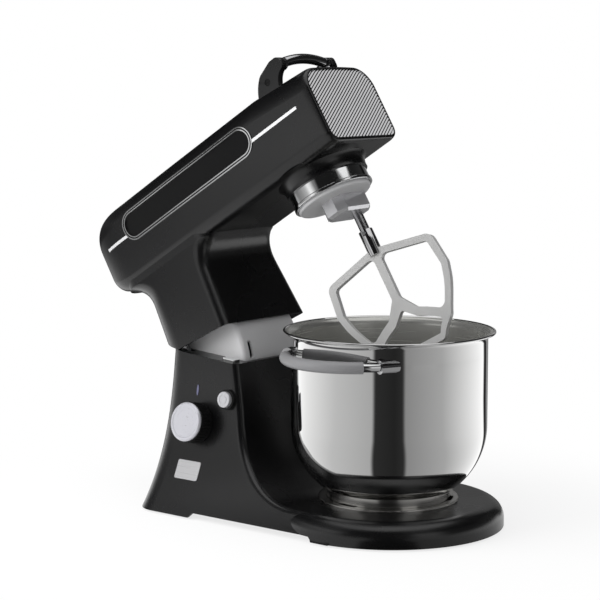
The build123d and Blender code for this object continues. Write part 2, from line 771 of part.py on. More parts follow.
def bowl_shell():
    """Steel bowl with a flared lip and a rolled edge."""
    outer = LIP_RADIUS + BOWL_WALL
    middle = LIP_RADIUS + BOWL_WALL / 2
    lip_x = BOWL_RADIUS + LIP_RADIUS
    lip_z = BOWL_TOP - middle - LIP_EDGE
    section = bowl_outline(0, lip_z) - bowl_outline(-BOWL_WALL, lip_z)
    quarter = Pos(-outer / 2, outer / 2) * Rectangle(outer, outer)
    section += Pos(lip_x, lip_z) * ((Circle(outer) - Circle(LIP_RADIUS)) & quarter)
    section += Pos(lip_x, lip_z + middle) * Circle(LIP_EDGE)
    return revolve(Plane.XZ * section, Axis.Z)


def bowl_foot():
    """Foot ring welded under the bowl, with three bayonet lugs."""
    low = seat_floor_top() + SLIP
    foot = ring(FOOT_RADIUS, FOOT_RADIUS - FOOT_WALL, low, BOWL_FLOOR)
    reach = FOOT_RADIUS + LUG_REACH
    lug_width = 2 * reach * sin(radians(LUG_ANGLE / 2))
    lug = Pos(reach / 2, 0, low) * Box(reach, lug_width, LUG_HEIGHT - SLIP, align=UPRIGHT)
    lug &= ring(reach, FOOT_RADIUS - FOOT_WALL / 2, low, FAR)
    return foot + [Rot(0, 0, k * 360 / LUG_COUNT) * lug for k in range(LUG_COUNT)]


def on_grip(shape):
    """A handle piece drawn about the bend's centre, placed beside the bowl."""
    turn = radians(GRIP_ANGLE)
    centre = Pos(GRIP_OFFSET * cos(turn), GRIP_OFFSET * sin(turn), GRIP_HEIGHT)
    return centre * Rot(0, 0, GRIP_ANGLE - 90) * shape


def grip_bend(radius, start, end):
    """Round bar bent about the handle's centre between two angles."""
    section = Plane.XZ * Pos(GRIP_BEND, 0) * Circle(radius)
    return Rot(0, 0, start) * revolve(section, Axis.Z, end - start)


def bowl_handle_rod():
    """Bent steel rod of the bowl's handle."""
    bare = GRIP_BARE_ANGLE
    core = grip_bend(GRIP_ROD, 0, bare) + grip_bend(GRIP_ROD, 180 - bare, 180)
    core += grip_bend(GRIP_ROD - GRIP_STEP, bare, 180 - bare)
    return on_grip(core) - bowl_form()


def bowl_handle_sleeve():
    """Soft grey sleeve over the handle's rod."""
    start = GRIP_BARE_ANGLE
    bore = grip_bend(GRIP_ROD - GRIP_STEP + FIT, start - 1, 181 - start)
    return on_grip(grip_bend(GRIP_SLEEVE, start, 180 - start) - bore)


def bowl_handle_brackets():
    """Sockets on the bowl's wall that hold the handle's two ends."""
    brackets = []
    for turn in (GRIP_SEAT_ANGLE, 180 - GRIP_SEAT_ANGLE):
        socket = Cylinder(GRIP_SOCKET, 2 * GRIP_SOCKET_LENGTH)
        socket = Rot(0, 0, turn) * Pos(GRIP_BEND, 0, 0) * Rot(90, 0, 0) * socket
        brackets.append(on_grip(socket - grip_bend(GRIP_ROD + FIT, -8, 188)) - bowl_form())
    return group(brackets)


# Head shells

def head_section(x, tail, grow):
    """Cross-section of the head at one place along its length; tail is 1 at its rounded rear end."""
    along = max(0, (x - COLUMN_FRONT) / (HEAD_FRONT - COLUMN_FRONT))
    half = HEAD_HALF + (HEAD_FRONT_HALF - HEAD_HALF) * along - TAIL_SIDE * tail + grow
    low = HEAD_BOTTOM + TAIL_RISE * tail - grow
    drop = max(0, (x - HEAD_DROP_START) / (HEAD_FRONT - HEAD_DROP_START))
    high = HEAD_TOP - TAIL_DROP * tail - HEAD_DROP * drop + grow
    sides = Polyline((-half, high), (-half, low), (half, low), (half, high))
    crown = ThreePointArc((half, high), (0, high + HEAD_CROWN), (-half, high))
    outline = make_face(sides.edges() + crown.edges())
    outline = fillet(outline.vertices().group_by(Axis.Y)[0], HEAD_LOW_CORNER + grow)
    outline = fillet(outline.vertices().group_by(Axis.Y)[-1], HEAD_TOP_CORNER + grow)
    return Plane(origin=(x, 0, 0), x_dir=(0, 1, 0), z_dir=(1, 0, 0)) * outline


@cache
def head_form(grow=0.0, front=HEAD_FRONT):
    """The head's long body, grown or shrunk by a wall."""
    joint = HEAD_REAR + TAIL_LENGTH
    length = TAIL_LENGTH + grow
    turns = [radians(angle) for angle in (90, 67.5, 45, 22.5)]
    tail = [head_section(joint - length * sin(turn), 1 - cos(turn), grow) for turn in turns]
    tail += [head_section(joint + step, 0, grow) for step in (0, TAIL_LENGTH / 3)]
    rear = loft(tail)
    middle = loft([head_section(x, 0, grow) for x in (joint + TAIL_LENGTH / 3, COLUMN_FRONT)], ruled=True)
    fore = loft([head_section(x, 0, grow) for x in (COLUMN_FRONT, HEAD_DROP_START)], ruled=True)
    nose = loft([head_section(x, 0, grow) for x in (HEAD_DROP_START, front)], ruled=True)
    return rear + middle + fore + nose


def neck_section(z, spread, grow):
    """Plan of the neck at one height; spread is 1 where it has flared out into the head."""
    rear = COLUMN_REAR - NECK_FLARE_REAR * spread - grow
    front = COLUMN_FRONT + NECK_FLARE_FRONT * spread + grow
    rise = min(1, (z - SPLIT_FRONT_Z) / (NECK_FLARE_END - SPLIT_FRONT_Z))
    half = COLUMN_HALF + (HEAD_HALF - 1 - COLUMN_HALF) * rise + grow
    outline = Pos((rear + front) / 2, 0) * Rectangle(front - rear, 2 * half)
    outline = fillet(outline.vertices().group_by(Axis.X)[0], COLUMN_CORNER - 8 * spread + grow)
    outline = fillet(outline.vertices().group_by(Axis.X)[-1], COLUMN_CREASE + WALL + 20 * spread + grow)
    return Pos(0, 0, z) * outline


@cache
def neck_form(grow=0.0):
    """The neck between head and column, without its bottom cut."""
    height = NECK_FLARE_END - NECK_FLARE_START
    turns = [radians(angle) for angle in (0, 20, 40, 60, 80)]
    flare_start = NECK_FLARE_START - height / 3
    collar = [neck_section(flare_start, 0, grow)]
    collar += [neck_section(NECK_FLARE_START + height * sin(turn), 1 - cos(turn), grow) for turn in turns]
    post = [neck_section(z, 0, grow) for z in (SPLIT_FRONT_Z - 25, flare_start)]
    crown = extrude(collar[-1], NECK_TOP - collar[-1].center().Z, dir=(0, 0, 1))
    return loft(post, ruled=True) + loft(collar) + crown


def chin_form():
    """Round chin below the head's front, flaring up into its underside."""
    top = HEAD_BOTTOM + WALL
    rise = top - CHIN_BOTTOM
    start = (CHIN_RADIUS, CHIN_BOTTOM)
    middle = (CHIN_RADIUS + CHIN_FLARE * 0.29, CHIN_BOTTOM + rise * 0.71)
    end = (CHIN_RADIUS + CHIN_FLARE, top)
    arc = ThreePointArc(start, middle, end)
    rest = Polyline(end, (0, top), (0, CHIN_BOTTOM), start)
    return revolve(Plane.XZ * make_face(arc.edges() + rest.edges()), Axis.Z)


def deck_cutter():
    """Everything below the column's sloping top, with the joint's gap."""
    rear = BASE_REAR - 60
    front = COLUMN_FRONT + 60
    top = [(x, split_z(x) + SPLIT_GAP) for x in (rear, front)]
    return side_prism(polygon(*top, (front, 0), (rear, 0)), FAR)


def bezel_back():
    """X of the joint between the head's shells and its front frame."""
    return HEAD_FRONT - BEZEL_DEPTH


@cache
def head_shell():
    """Hollow head with the side slots and the trim's groove cut, still in one piece."""
    shell = head_form() - head_form(-WALL, bezel_back() - WALL)
    shell &= slab(-FAR, bezel_back(), 0, 2 * FAR)
    shell -= slot_prism(0)
    groove = slab(TRIM_REAR, TRIM_FRONT, PARTING - TRIM_HEIGHT / 2, PARTING + TRIM_HEIGHT / 2)
    return shell - (groove - head_form(-TRIM_DEPTH))


def head_top_cover():
    """Upper half of the head's casing."""
    return head_shell() & slab(-FAR, FAR, PARTING, 2 * FAR)


def head_lower_housing():
    """Lower half of the head's casing with the neck and the chin."""
    hollow = head_form(-WALL, bezel_back() - WALL)
    lower = head_shell() & slab(-FAR, FAR, 0, PARTING)
    neck = neck_form() - hollow
    chin = chin_form() - hollow
    lower = lower + neck + chin
    lower -= neck_form(-WALL)
    lower -= rod(RING_OUTER + FIT, 0, HEAD_BOTTOM + 2 * WALL)
    cutter = deck_cutter()
    lower = lower - cutter - cutter.rotate(HINGE_AXIS, -HEAD_TILT)
    return lower.solids().sort_by(SortBy.VOLUME)[-1]


def face_outline(margin):
    """Outline of the head's front, drawn in by a margin."""
    section = head_section(HEAD_FRONT, 0, 0)
    return offset(section.face(), -margin)


def front_bezel():
    """Black frame round the front plate."""
    frame = head_form() & slab(bezel_back(), FAR, 0, 2 * FAR)
    pocket = extrude(face_outline(FACE_MARGIN), FACE_THICKNESS - FACE_PROUD, dir=(-1, 0, 0))
    return frame - pocket


def front_plate():
    """Silver front plate with slanting ribs."""
    plate = extrude(face_outline(FACE_MARGIN + FIT), FACE_THICKNESS, dir=(-1, 0, 0))
    plate = Pos(FACE_PROUD, 0, 0) * plate
    middle = (HEAD_TOP + HEAD_BOTTOM) / 2
    span = HEAD_TOP - HEAD_BOTTOM + 2 * HEAD_FRONT_HALF
    count = int(span / RIB_PITCH / 2)
    groove = Box(2 * RIB_DEPTH, span, RIB_PITCH * 0.45)
    grooves = [Pos(0, 0, k * RIB_PITCH) * groove for k in range(-count, count + 1)]
    cutter = Pos(HEAD_FRONT + FACE_PROUD, 0, middle) * Rot(RIB_ANGLE, 0, 0) * group(grooves)
    return plate - cutter


def slot_prism(inset):
    """Stadium through both sides of the head, drawn in by an inset."""
    outline = Pos(SLOT_X, SLOT_Z) * SlotOverall(SLOT_LENGTH - 2 * inset, SLOT_HEIGHT - 2 * inset)
    return side_prism(outline, FAR)


def left_half(shape):
    """The part of a shape on the left of the middle plane."""
    return split(shape, Plane.XZ, keep=Keep.TOP)


def slot_frame():
    """Bright frame round the left side slot."""
    band = head_form(SLOT_PROUD) - head_form(-WALL)
    return left_half((slot_prism(FIT) - slot_prism(SLOT_FRAME)) & band)


def slot_panel():
    """Dark panel inside the left slot's frame."""
    band = head_form(-SLOT_SUNK) - head_form(-WALL)
    return left_half(slot_prism(SLOT_FRAME + FIT) & band)


def trim_strips():
    """Bright strips along the head's parting line, before and behind the slots."""
    band = head_form(TRIM_PROUD) - head_form(-TRIM_DEPTH + FIT)
    low = PARTING - TRIM_HEIGHT / 2 + FIT
    high = PARTING + TRIM_HEIGHT / 2 - FIT
    strip = band & slab(TRIM_REAR + FIT, TRIM_FRONT - FIT, low, high)
    return group([strip - slot_prism(-FIT)])


# Lifting handle

def handle_arms():
    """Two black arms on the head's top that carry the grip."""
    foot = HEAD_TOP - HEAD_TOP_CORNER
    knee = HEAD_TOP - HANDLE_KNEE
    reach = HANDLE_GRIP + HANDLE_LAND
    points = [(HANDLE_BASE_REAR, foot), (HANDLE_BASE_REAR, knee)]
    points += [(HANDLE_SHOULDER_X, HANDLE_Z), (HANDLE_X - reach, HANDLE_Z + reach)]
    points += [(HANDLE_X + reach, HANDLE_Z + reach), (HANDLE_X + reach, HANDLE_Z - reach)]
    points += [(HANDLE_BASE_FRONT, knee), (HANDLE_BASE_FRONT, foot)]
    outline = polygon(*points)
    high = [v for v in outline.vertices() if v.Y > knee + 1]
    outline = fillet(high, HANDLE_ROUND)
    arm = extrude(Plane.XZ.offset(HANDLE_HALF - HANDLE_ARM) * outline, HANDLE_ARM)
    arm -= head_form()
    x, z = handle_screw_place()
    recess = cross_rod(SCREW_HEAD + FIT, x, z, -HANDLE_HALF - 1, -HANDLE_HALF + SCREW_HEAD_HEIGHT)
    return group(both_sides(arm - recess))


def handle_screw_place():
    """X and height of the screw in each handle arm."""
    return HANDLE_BASE_FRONT - 2 * HANDLE_ROUND, HEAD_TOP + HANDLE_ROUND


def handle_screws():
    """Screw caps sunk in the handle arms."""
    x, z = handle_screw_place()
    face = SCREW_HEAD_HEIGHT / 4 - HANDLE_HALF
    cap = cross_rod(SCREW_HEAD, x, z, face, -HANDLE_HALF + SCREW_HEAD_HEIGHT)
    slot = Pos(x, face, z) * Box(1.5 * SCREW_HEAD, SCREW_HEAD_HEIGHT / 2, SCREW_HEAD_HEIGHT / 2)
    return group(both_sides(cap - slot))


def handle_grip():
    """Bright arched bar between the handle arms."""
    reach = HANDLE_HALF - HANDLE_ARM
    crown = (HANDLE_X + HANDLE_LEAN, 0, HANDLE_Z + HANDLE_ARCH)
    path = ThreePointArc((HANDLE_X, -reach, HANDLE_Z), crown, (HANDLE_X, reach, HANDLE_Z))
    bar = sweep(Plane(origin=path @ 0, z_dir=path % 0) * Circle(HANDLE_GRIP), path)
    bar &= Pos(HANDLE_X, 0, HANDLE_Z) * Box(FAR, 2 * reach, FAR)
    collar = cross_rod(HANDLE_COLLAR, HANDLE_X, HANDLE_Z, -reach, -reach + HANDLE_COLLAR_LENGTH)
    return bar + both_sides(collar)


# Gears

def gear_outline(teeth, module, inner=False):
    """Toothed outline with straight flanks and running backlash; a tooth lies on +X."""
    pitch_radius = teeth * module / 2
    tip = pitch_radius + (1.0 if inner else 0.8) * module
    root = pitch_radius - (0.8 if inner else 1.0) * module
    pitch_angle = 2 * pi / teeth
    middle_share = 0.58 if inner else 0.42
    points = []
    for k in range(teeth):
        centre = k * pitch_angle
        for radius, sign in ((root, -1), (tip, -1), (tip, 1), (root, 1)):
            thickness = middle_share * pi * module - 2 * tan(radians(20)) * (radius - pitch_radius)
            angle = centre + sign * thickness / 2 / pitch_radius
            points.append((radius * cos(angle), radius * sin(angle)))
    return polygon(*points)


def orbit_place():
    """Centre of the planet's shaft with the head lowered."""
    turn = radians(ORBIT_ANGLE)
    return ORBIT * cos(turn), ORBIT * sin(turn)


def gear_level():
    """Height of the planet gear's lower face."""
    return CHIN_BOTTOM + 0.5


def ring_gear():
    """Fixed inner gear in the chin that the planet rolls in."""
    teeth = Rot(0, 0, ORBIT_ANGLE) * gear_outline(RING_TEETH, GEAR_MODULE, inner=True)
    blank = Circle(RING_OUTER) - teeth
    return Pos(0, 0, gear_level()) * extrude(blank, GEAR_FACE)


def planet_gear():
    """Planet gear on the output shaft."""
    x, y = orbit_place()
    blank = gear_outline(PLANET_TEETH, GEAR_MODULE) - Circle(OUTPUT_SHAFT + FIT)
    return Pos(x, y, gear_level()) * Rot(0, 0, ORBIT_ANGLE) * extrude(blank, GEAR_FACE)


def bearing_floor():
    """Height of the gearbox plate's lower face, above the planet gear."""
    return gear_level() + GEAR_FACE + 1.5


def gearbox_floor():
    """Height of the head's floor, which carries the gearbox plate."""
    return HEAD_BOTTOM + WALL


def gearbox_top():
    """Height of the gearbox plate's upper face."""
    return gearbox_floor() + 5


def gearbox_plate():
    """Plate over the chin that carries the main shaft's and the layshaft's lower bearings."""
    circles = Circle(CHIN_RADIUS - WALL) + Pos(LAYSHAFT_X, 0) * Circle(2 * SMALL_BEARING)
    flange = make_hull(circles.edges())
    plate = Pos(0, 0, gearbox_floor()) * extrude(flange, gearbox_top() - gearbox_floor())
    plate += rod(RING_OUTER - SLIP, bearing_floor(), gearbox_floor())
    plate -= rod(MAIN_BEARING + FIT, bearing_floor() + 2, FAR)
    plate -= rod(MAIN_SHAFT + LOOSE, 0, FAR)
    return plate - rod(SMALL_BEARING + FIT, gearbox_top() - SMALL_BEARING_HEIGHT, FAR, LAYSHAFT_X)


def chassis_top():
    """Height of the chassis plate's upper face."""
    return CHASSIS_BOTTOM + CHASSIS_THICKNESS


def chassis_plate():
    """Plate inside the head that the motor and the gear shafts hang from, on six posts."""
    length = CHASSIS_FRONT - CHASSIS_REAR
    outline = Pos((CHASSIS_FRONT + CHASSIS_REAR) / 2, 0) * RectangleRounded(length, 2 * CHASSIS_HALF, 14)
    plate = Pos(0, 0, CHASSIS_BOTTOM) * extrude(outline, CHASSIS_THICKNESS)
    plate += [rod(POST_RADIUS, gearbox_floor(), CHASSIS_BOTTOM, x, y) for x, y in mirrored(CHASSIS_POSTS)]
    plate -= rod(MAIN_BEARING + FIT, 0, FAR)
    for x in (LAYSHAFT_X, MOTOR_X):
        plate -= rod(SMALL_BEARING + FIT, 0, FAR, x)
    holes = [rod(SCREW_SHANK + FIT, chassis_top() - 10, FAR, x, y) for x, y in mirrored(CHASSIS_POSTS)]
    return plate - (Part() + holes)


def chassis_screws():
    """Screws in the chassis plate's posts."""
    screws = []
    for x, y in mirrored(CHASSIS_POSTS):
        head = rod(SCREW_HEAD, chassis_top(), chassis_top() + SCREW_HEAD_HEIGHT, x, y)
        screws.append(head + rod(SCREW_SHANK, chassis_top() - 9, chassis_top(), x, y))
    return group(screws)


def ball_bearings():
    """Outer races of the six bearings that guide the upright shafts."""
    small_low = gearbox_top() - SMALL_BEARING_HEIGHT
    races = [ring(MAIN_BEARING, MAIN_SHAFT + RUNNING, bearing_floor() + 2, gearbox_top())]
    races.append(ring(MAIN_BEARING, MAIN_SHAFT + RUNNING, CHASSIS_BOTTOM, chassis_top()))
    for x, low in ((LAYSHAFT_X, small_low), (LAYSHAFT_X, CHASSIS_BOTTOM), (MOTOR_X, CHASSIS_BOTTOM),
                   (MOTOR_X, MOTOR_BOTTOM)):
        races.append(ring(SMALL_BEARING, LAYSHAFT + RUNNING, low, low + SMALL_BEARING_HEIGHT, x))
    return group(races)


def hub_collar():
    """Bright ring below the chin with a rolled lower lip."""
    collar = ring(COLLAR_RADIUS - 1.2, COLLAR_BORE, COLLAR_BOTTOM, CHIN_BOTTOM)
    lip = rod(COLLAR_RADIUS, COLLAR_BOTTOM, COLLAR_BOTTOM + 4) - rod(COLLAR_BORE, 0, FAR)
    collar += lip
    outer = [e for e in collar.edges().filter_by(GeomType.CIRCLE) if e.radius > COLLAR_RADIUS - 0.1]
    return fillet(outer, 1.1)


# Turning pieces of the drive

def carrier_top():
    """Height of the planet carrier's hubs."""
    return gear_level() - 1.5


def planet_carrier():
    """Grey disc that swings the output shaft round the bowl."""
    x, y = orbit_place()
    disc = rod(CARRIER_RADIUS, CARRIER_BOTTOM, CARRIER_BOTTOM + CARRIER_THICKNESS)
    disc = fillet(disc.edges().sort_by(Axis.Z)[0], 2.5)
    disc += rod(CARRIER_HUB, CARRIER_BOTTOM + 1, carrier_top())
    disc += rod(PLANET_BOSS, CARRIER_BOTTOM + 1, carrier_top(), x, y)
    disc -= rod(MAIN_SHAFT + FIT, CARRIER_BOTTOM + 2, FAR)
    return disc - rod(OUTPUT_SHAFT + RUNNING, 0, FAR, x, y)


def output_block():
    """Faceted block under the carrier round the output shaft."""
    length = ORBIT + 2 * BLOCK_OVERHANG
    outline = chamfer(Rectangle(length, BLOCK_WIDTH).vertices(), BLOCK_CORNER)
    block = Pos(ORBIT / 2, 0, BLOCK_BOTTOM) * extrude(outline, CARRIER_BOTTOM - BLOCK_BOTTOM)
    block = chamfer(block.faces().sort_by(Axis.Z)[0].edges(), BLOCK_BEVEL)
    block = Rot(0, 0, ORBIT_ANGLE) * block
    x, y = orbit_place()
    return block - rod(OUTPUT_SHAFT + RUNNING, 0, FAR, x, y)


def main_shaft():
    """Upright shaft between the main gear and the carrier."""
    return rod(MAIN_SHAFT, CARRIER_BOTTOM + 2, chassis_top() + 2)


def drive_level():
    """Height of the main gear's lower face."""
    return gearbox_top() + 7


def main_gear():
    """Large gear on the main shaft."""
    blank = Rot(0, 0, 180) * gear_outline(MAIN_TEETH, DRIVE_MODULE) - Circle(MAIN_SHAFT + FIT)
    gear = Pos(0, 0, drive_level()) * extrude(blank, GEAR_FACE)
    hub = ring(MAIN_SHAFT + 6, MAIN_SHAFT + FIT, drive_level() - 4, drive_level() + GEAR_FACE + 2)
    holes = [Rot(0, 0, k * 60) * rod(6, 0, FAR, 23) for k in range(6)]
    return gear - (Part() + holes) + hub


def layshaft():
    """Shaft with the pinion cut on it, between belt pulley and main gear."""
    low = gearbox_top() - SMALL_BEARING_HEIGHT + LOOSE
    shaft = rod(LAYSHAFT, low, PULLEY_BOTTOM + PULLEY_HEIGHT, LAYSHAFT_X)
    tooth_turn = 180 / PINION_TEETH
    pinion = Rot(0, 0, tooth_turn) * gear_outline(PINION_TEETH, DRIVE_MODULE)
    return shaft + Pos(LAYSHAFT_X, 0, drive_level() - 1) * extrude(pinion, GEAR_FACE + 2)


def pulley(radius, bore, x):
    """Flat-belt pulley with a flange above and below."""
    top = PULLEY_BOTTOM + PULLEY_HEIGHT
    rim = (PULLEY_HEIGHT - BELT_WIDTH) / 2 - SLIP
    body = rod(radius - SLIP, PULLEY_BOTTOM, top, x)
    body += rod(radius + PULLEY_FLANGE, PULLEY_BOTTOM, PULLEY_BOTTOM + rim, x)
    body += rod(radius + PULLEY_FLANGE, top - rim, top, x)
    return body - rod(bore + FIT, 0, FAR, x)


def big_pulley():
    """Driven pulley on the layshaft, with lightening holes."""
    wheel = pulley(BIG_PULLEY, LAYSHAFT, LAYSHAFT_X)
    hole = rod(BIG_PULLEY / 5, 0, FAR, BIG_PULLEY * 0.58)
    holes = [Pos(LAYSHAFT_X, 0, 0) * Rot(0, 0, k * 72) * hole for k in range(5)]
    return wheel - (Part() + holes)


def motor_pulley():
    """Small pulley on the motor's shaft."""
    return pulley(SMALL_PULLEY, LAYSHAFT, MOTOR_X)


def belt_loop(grow):
    """Outline round both pulleys at a distance from their running faces."""
    circles = Pos(LAYSHAFT_X, 0) * Circle(BIG_PULLEY + grow) + Pos(MOTOR_X, 0) * Circle(SMALL_PULLEY + grow)
    return make_hull(circles.edges())


def drive_belt():
    """Flat belt between the motor's pulley and the big pulley."""
    low = PULLEY_BOTTOM + (PULLEY_HEIGHT - BELT_WIDTH) / 2
    return Pos(0, 0, low) * extrude(belt_loop(BELT_THICKNESS) - belt_loop(0), BELT_WIDTH)


def motor_can():
    """Motor casing hung below the chassis plate."""
    can = rod(MOTOR_RADIUS, MOTOR_BOTTOM, CHASSIS_BOTTOM, MOTOR_X)
    can -= rod(MOTOR_RADIUS - MOTOR_WALL, MOTOR_BOTTOM + SMALL_BEARING_HEIGHT, FAR, MOTOR_X)
    return can - rod(SMALL_BEARING + FIT, 0, FAR, MOTOR_X)


def stator_low():
    """Height of the stator's lower end."""
    return MOTOR_BOTTOM + SMALL_BEARING_HEIGHT + 6


def stator_high():
    """Height of the stator's upper end."""
    return CHASSIS_BOTTOM - 10


def stator_core():
    """Laminated stator pressed into the motor's casing."""
    core = ring(MOTOR_RADIUS - MOTOR_WALL - FIT, STATOR_BORE, stator_low(), stator_high(), MOTOR_X)
    slots = [
        Pos(MOTOR_X, 0, 0) * Rot(0, 0, k * 60) * rod(4, 0, FAR, STATOR_BORE + 5.2) for k in range(6)
    ]
    return core - (Part() + slots)


def motor_rotor():
    """Armature and commutator on the motor's shaft."""
    low = MOTOR_BOTTOM - FAN_HEIGHT - 2
    rotor = rod(LAYSHAFT, low, PULLEY_BOTTOM + PULLEY_HEIGHT, MOTOR_X)
    rotor += rod(STATOR_BORE - AIR_GAP, stator_low(), stator_high(), MOTOR_X)
    return rotor + rod(STATOR_BORE / 2, stator_high(), CHASSIS_BOTTOM - 3, MOTOR_X)


def cooling_fan():
    """Fan on the lower end of the motor's shaft."""
    low = MOTOR_BOTTOM - FAN_HEIGHT - 2
    hub = ring(LAYSHAFT + 4, LAYSHAFT + FIT, low, low + FAN_HEIGHT, MOTOR_X)
    disc = ring(FAN_RADIUS, LAYSHAFT + FIT, low + FAN_HEIGHT - 1.5, low + FAN_HEIGHT, MOTOR_X)
    blade = Pos(FAN_RADIUS / 2 + 3, 0, low) * Box(FAN_RADIUS - 8, 1.5, FAN_HEIGHT, align=UPRIGHT)
    blades = [Pos(MOTOR_X, 0, 0) * Rot(0, 0, k * 36) * blade for k in range(10)]
    return hub + disc + blades


# Output shaft and beater

def output_shaft():
    """Shaft with the cross pin that drives the beater."""
    x, y = orbit_place()
    low = SOCKET_TOP - SOCKET_BORE_DEPTH + 1
    shaft = rod(OUTPUT_SHAFT, low, gear_level() + GEAR_FACE + 0.5, x, y)
    pin = Pos(x, y, SOCKET_TOP - 4) * Rot(0, 0, BEATER_YAW) * Rot(90, 0, 0) * Cylinder(
        DRIVE_PIN, 2 * SOCKET_RADIUS + 4)
    return shaft + pin


def rounded(points, radius):
    """Closed flat outline with every corner rounded."""
    outline = polygon(*points)
    return fillet(outline.vertices(), radius)


def mirrored_outline(points):
    """Points on the right of the middle line, then the same on the left in reverse."""
    return points + [(-x, z) for x, z in reversed(points) if x > 0]


def beater_frame():
    """Flat outline of the beater's frame, spine and two branches, in its own X and Z."""
    half = BEATER_HALF
    bar = BEATER_BAR
    spine = BEATER_SPINE / 2
    edge = [(0, BEATER_TOP), (half - 4, BEATER_SHOULDER), (half, BEATER_WAIST)]
    edge += [(half - 14, BEATER_BOTTOM + 20), (half - 34, BEATER_BOTTOM)]
    beside = [(spine, BEATER_TOP - bar - 1.5), (half - bar - 4, BEATER_SHOULDER - bar + 1.5)]
    beside += [(half - bar, BEATER_WAIST), (half - bar - 11.5, BEATER_BOTTOM + 30)]
    beside += [(2 * bar + 3, BEATER_FORK - 14), (spine, BEATER_FORK + 5)]
    below = [(0, BEATER_FORK - 9.5), (2 * bar - 1, BEATER_FORK - 23)]
    below += [(half - 3 * bar - 1, BEATER_BOTTOM + 21.5), (half - 37, BEATER_BOTTOM + bar)]
    window = rounded(beside, BEATER_WEB)
    frame = rounded(mirrored_outline(edge), BEATER_ROUND) - window - mirror(window, Plane.YZ)
    return frame - rounded(mirrored_outline(below), BEATER_WEB / 2)


def flat_beater():
    """Cast beater with its socket, hung on the output shaft."""
    x, y = orbit_place()
    frame = side_prism(beater_frame(), BEATER_THICKNESS / 2)
    frame += rod(SOCKET_RADIUS, BEATER_TOP - BEATER_BAR, SOCKET_TOP)
    frame -= rod(OUTPUT_SHAFT + RUNNING, SOCKET_TOP - SOCKET_BORE_DEPTH, FAR)
    slot_width = 2 * (DRIVE_PIN + SLIP)
    frame -= Pos(0, 0, SOCKET_TOP - 4 - slot_width / 2) * Box(slot_width, FAR, FAR, align=UPRIGHT)
    return Pos(x, y, 0) * Rot(0, 0, BEATER_YAW) * frame


STAND_PIECES = {
    "stand_housing": stand_housing,
    "bottom_cover": bottom_cover,
    "rubber_feet": rubber_feet,
    "cover_screws": cover_screws,
    "control_board": control_board,
    "cord_gland": cord_gland,
    "bowl_seat": bowl_seat,
    "hinge_housing": hinge_housing,
    "hinge_pin": hinge_pin,
    "indicator_lens": indicator_lens,
    "name_plate": name_plate,
    "knob_body": knob_body,
    "knob_cap": knob_cap,
    "speed_switch": speed_switch,
    "button_collar": button_collar,
    "button_cap": button_cap,
    "button_stem": button_stem,
    "button_spring": button_spring,
    "lock_tongue": lock_tongue,
    "bowl_shell": bowl_shell,
    "bowl_foot": bowl_foot,
    "bowl_handle_rod": bowl_handle_rod,
    "bowl_handle_sleeve": bowl_handle_sleeve,
    "bowl_handle_brackets": bowl_handle_brackets,
}

HEAD_PIECES = {
    "head_top_cover": head_top_cover,
    "head_lower_housing": head_lower_housing,
    "front_bezel": front_bezel,
    "front_plate": front_plate,
    "trim_strips": trim_strips,
    "slot_frame_left": slot_frame,
    "slot_panel_left": slot_panel,
    "handle_arms": handle_arms,
    "handle_grip": handle_grip,
    "handle_screws": handle_screws,
    "hinge_lugs": hinge_lugs,
    "hub_collar": hub_collar,
    "ring_gear": ring_gear,
    "gearbox_plate": gearbox_plate,
    "chassis_plate": chassis_plate,
    "chassis_screws": chassis_screws,
    "ball_bearings": ball_bearings,
    "motor_can": motor_can,
    "stator_core": stator_core,
    "motor_rotor": motor_rotor,
    "cooling_fan": cooling_fan,
    "motor_pulley": motor_pulley,
    "drive_belt": drive_belt,
    "big_pulley": big_pulley,
    "layshaft": layshaft,
    "main_gear": main_gear,
    "main_shaft": main_shaft,
    "planet_carrier": planet_carrier,
    "output_block": output_block,
    "planet_gear": planet_gear,
    "output_shaft": output_shaft,
    "flat_beater": flat_beater,
}


def main():
    """Write every piece in its place with the head raised."""
    os.makedirs("parts", exist_ok=True)
    for name, make in STAND_PIECES.items():
        export_step(make(), f"parts/{name}.step")
    for name, make in HEAD_PIECES.items():
        shape = make()
        export_step(raised(shape), f"parts/{name}.step")
        if name.endswith("_left"):
            right = mirror(shape, Plane.XZ)
            export_step(raised(right), f"parts/{name.replace('_left', '_right')}.step")


main()
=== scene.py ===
import json
import logging
from dataclasses import dataclass
from enum import Enum
from functools import partial
from math import asin, cos, pi, radians, sin

import bmesh
import bpy
from mathutils import Matrix, Vector


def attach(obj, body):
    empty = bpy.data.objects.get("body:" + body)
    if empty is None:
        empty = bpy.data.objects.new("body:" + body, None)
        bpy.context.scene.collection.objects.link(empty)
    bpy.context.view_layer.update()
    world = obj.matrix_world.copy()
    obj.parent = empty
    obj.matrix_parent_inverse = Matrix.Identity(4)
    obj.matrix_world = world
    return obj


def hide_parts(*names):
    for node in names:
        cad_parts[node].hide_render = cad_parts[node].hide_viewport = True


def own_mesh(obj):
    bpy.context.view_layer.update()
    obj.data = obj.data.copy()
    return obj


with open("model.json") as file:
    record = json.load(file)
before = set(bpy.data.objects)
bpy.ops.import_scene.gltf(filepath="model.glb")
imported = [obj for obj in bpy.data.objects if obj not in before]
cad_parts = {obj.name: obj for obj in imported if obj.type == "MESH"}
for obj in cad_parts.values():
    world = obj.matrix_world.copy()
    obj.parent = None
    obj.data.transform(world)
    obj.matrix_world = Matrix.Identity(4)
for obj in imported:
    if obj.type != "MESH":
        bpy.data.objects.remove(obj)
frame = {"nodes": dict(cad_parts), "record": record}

LOG = logging.getLogger("mixer")
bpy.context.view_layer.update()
Colour = tuple[float, float, float]
Span = tuple[float, float]
Table = tuple[Span, ...]
BMesh = bmesh.types.BMesh
Socket = bpy.types.NodeSocket

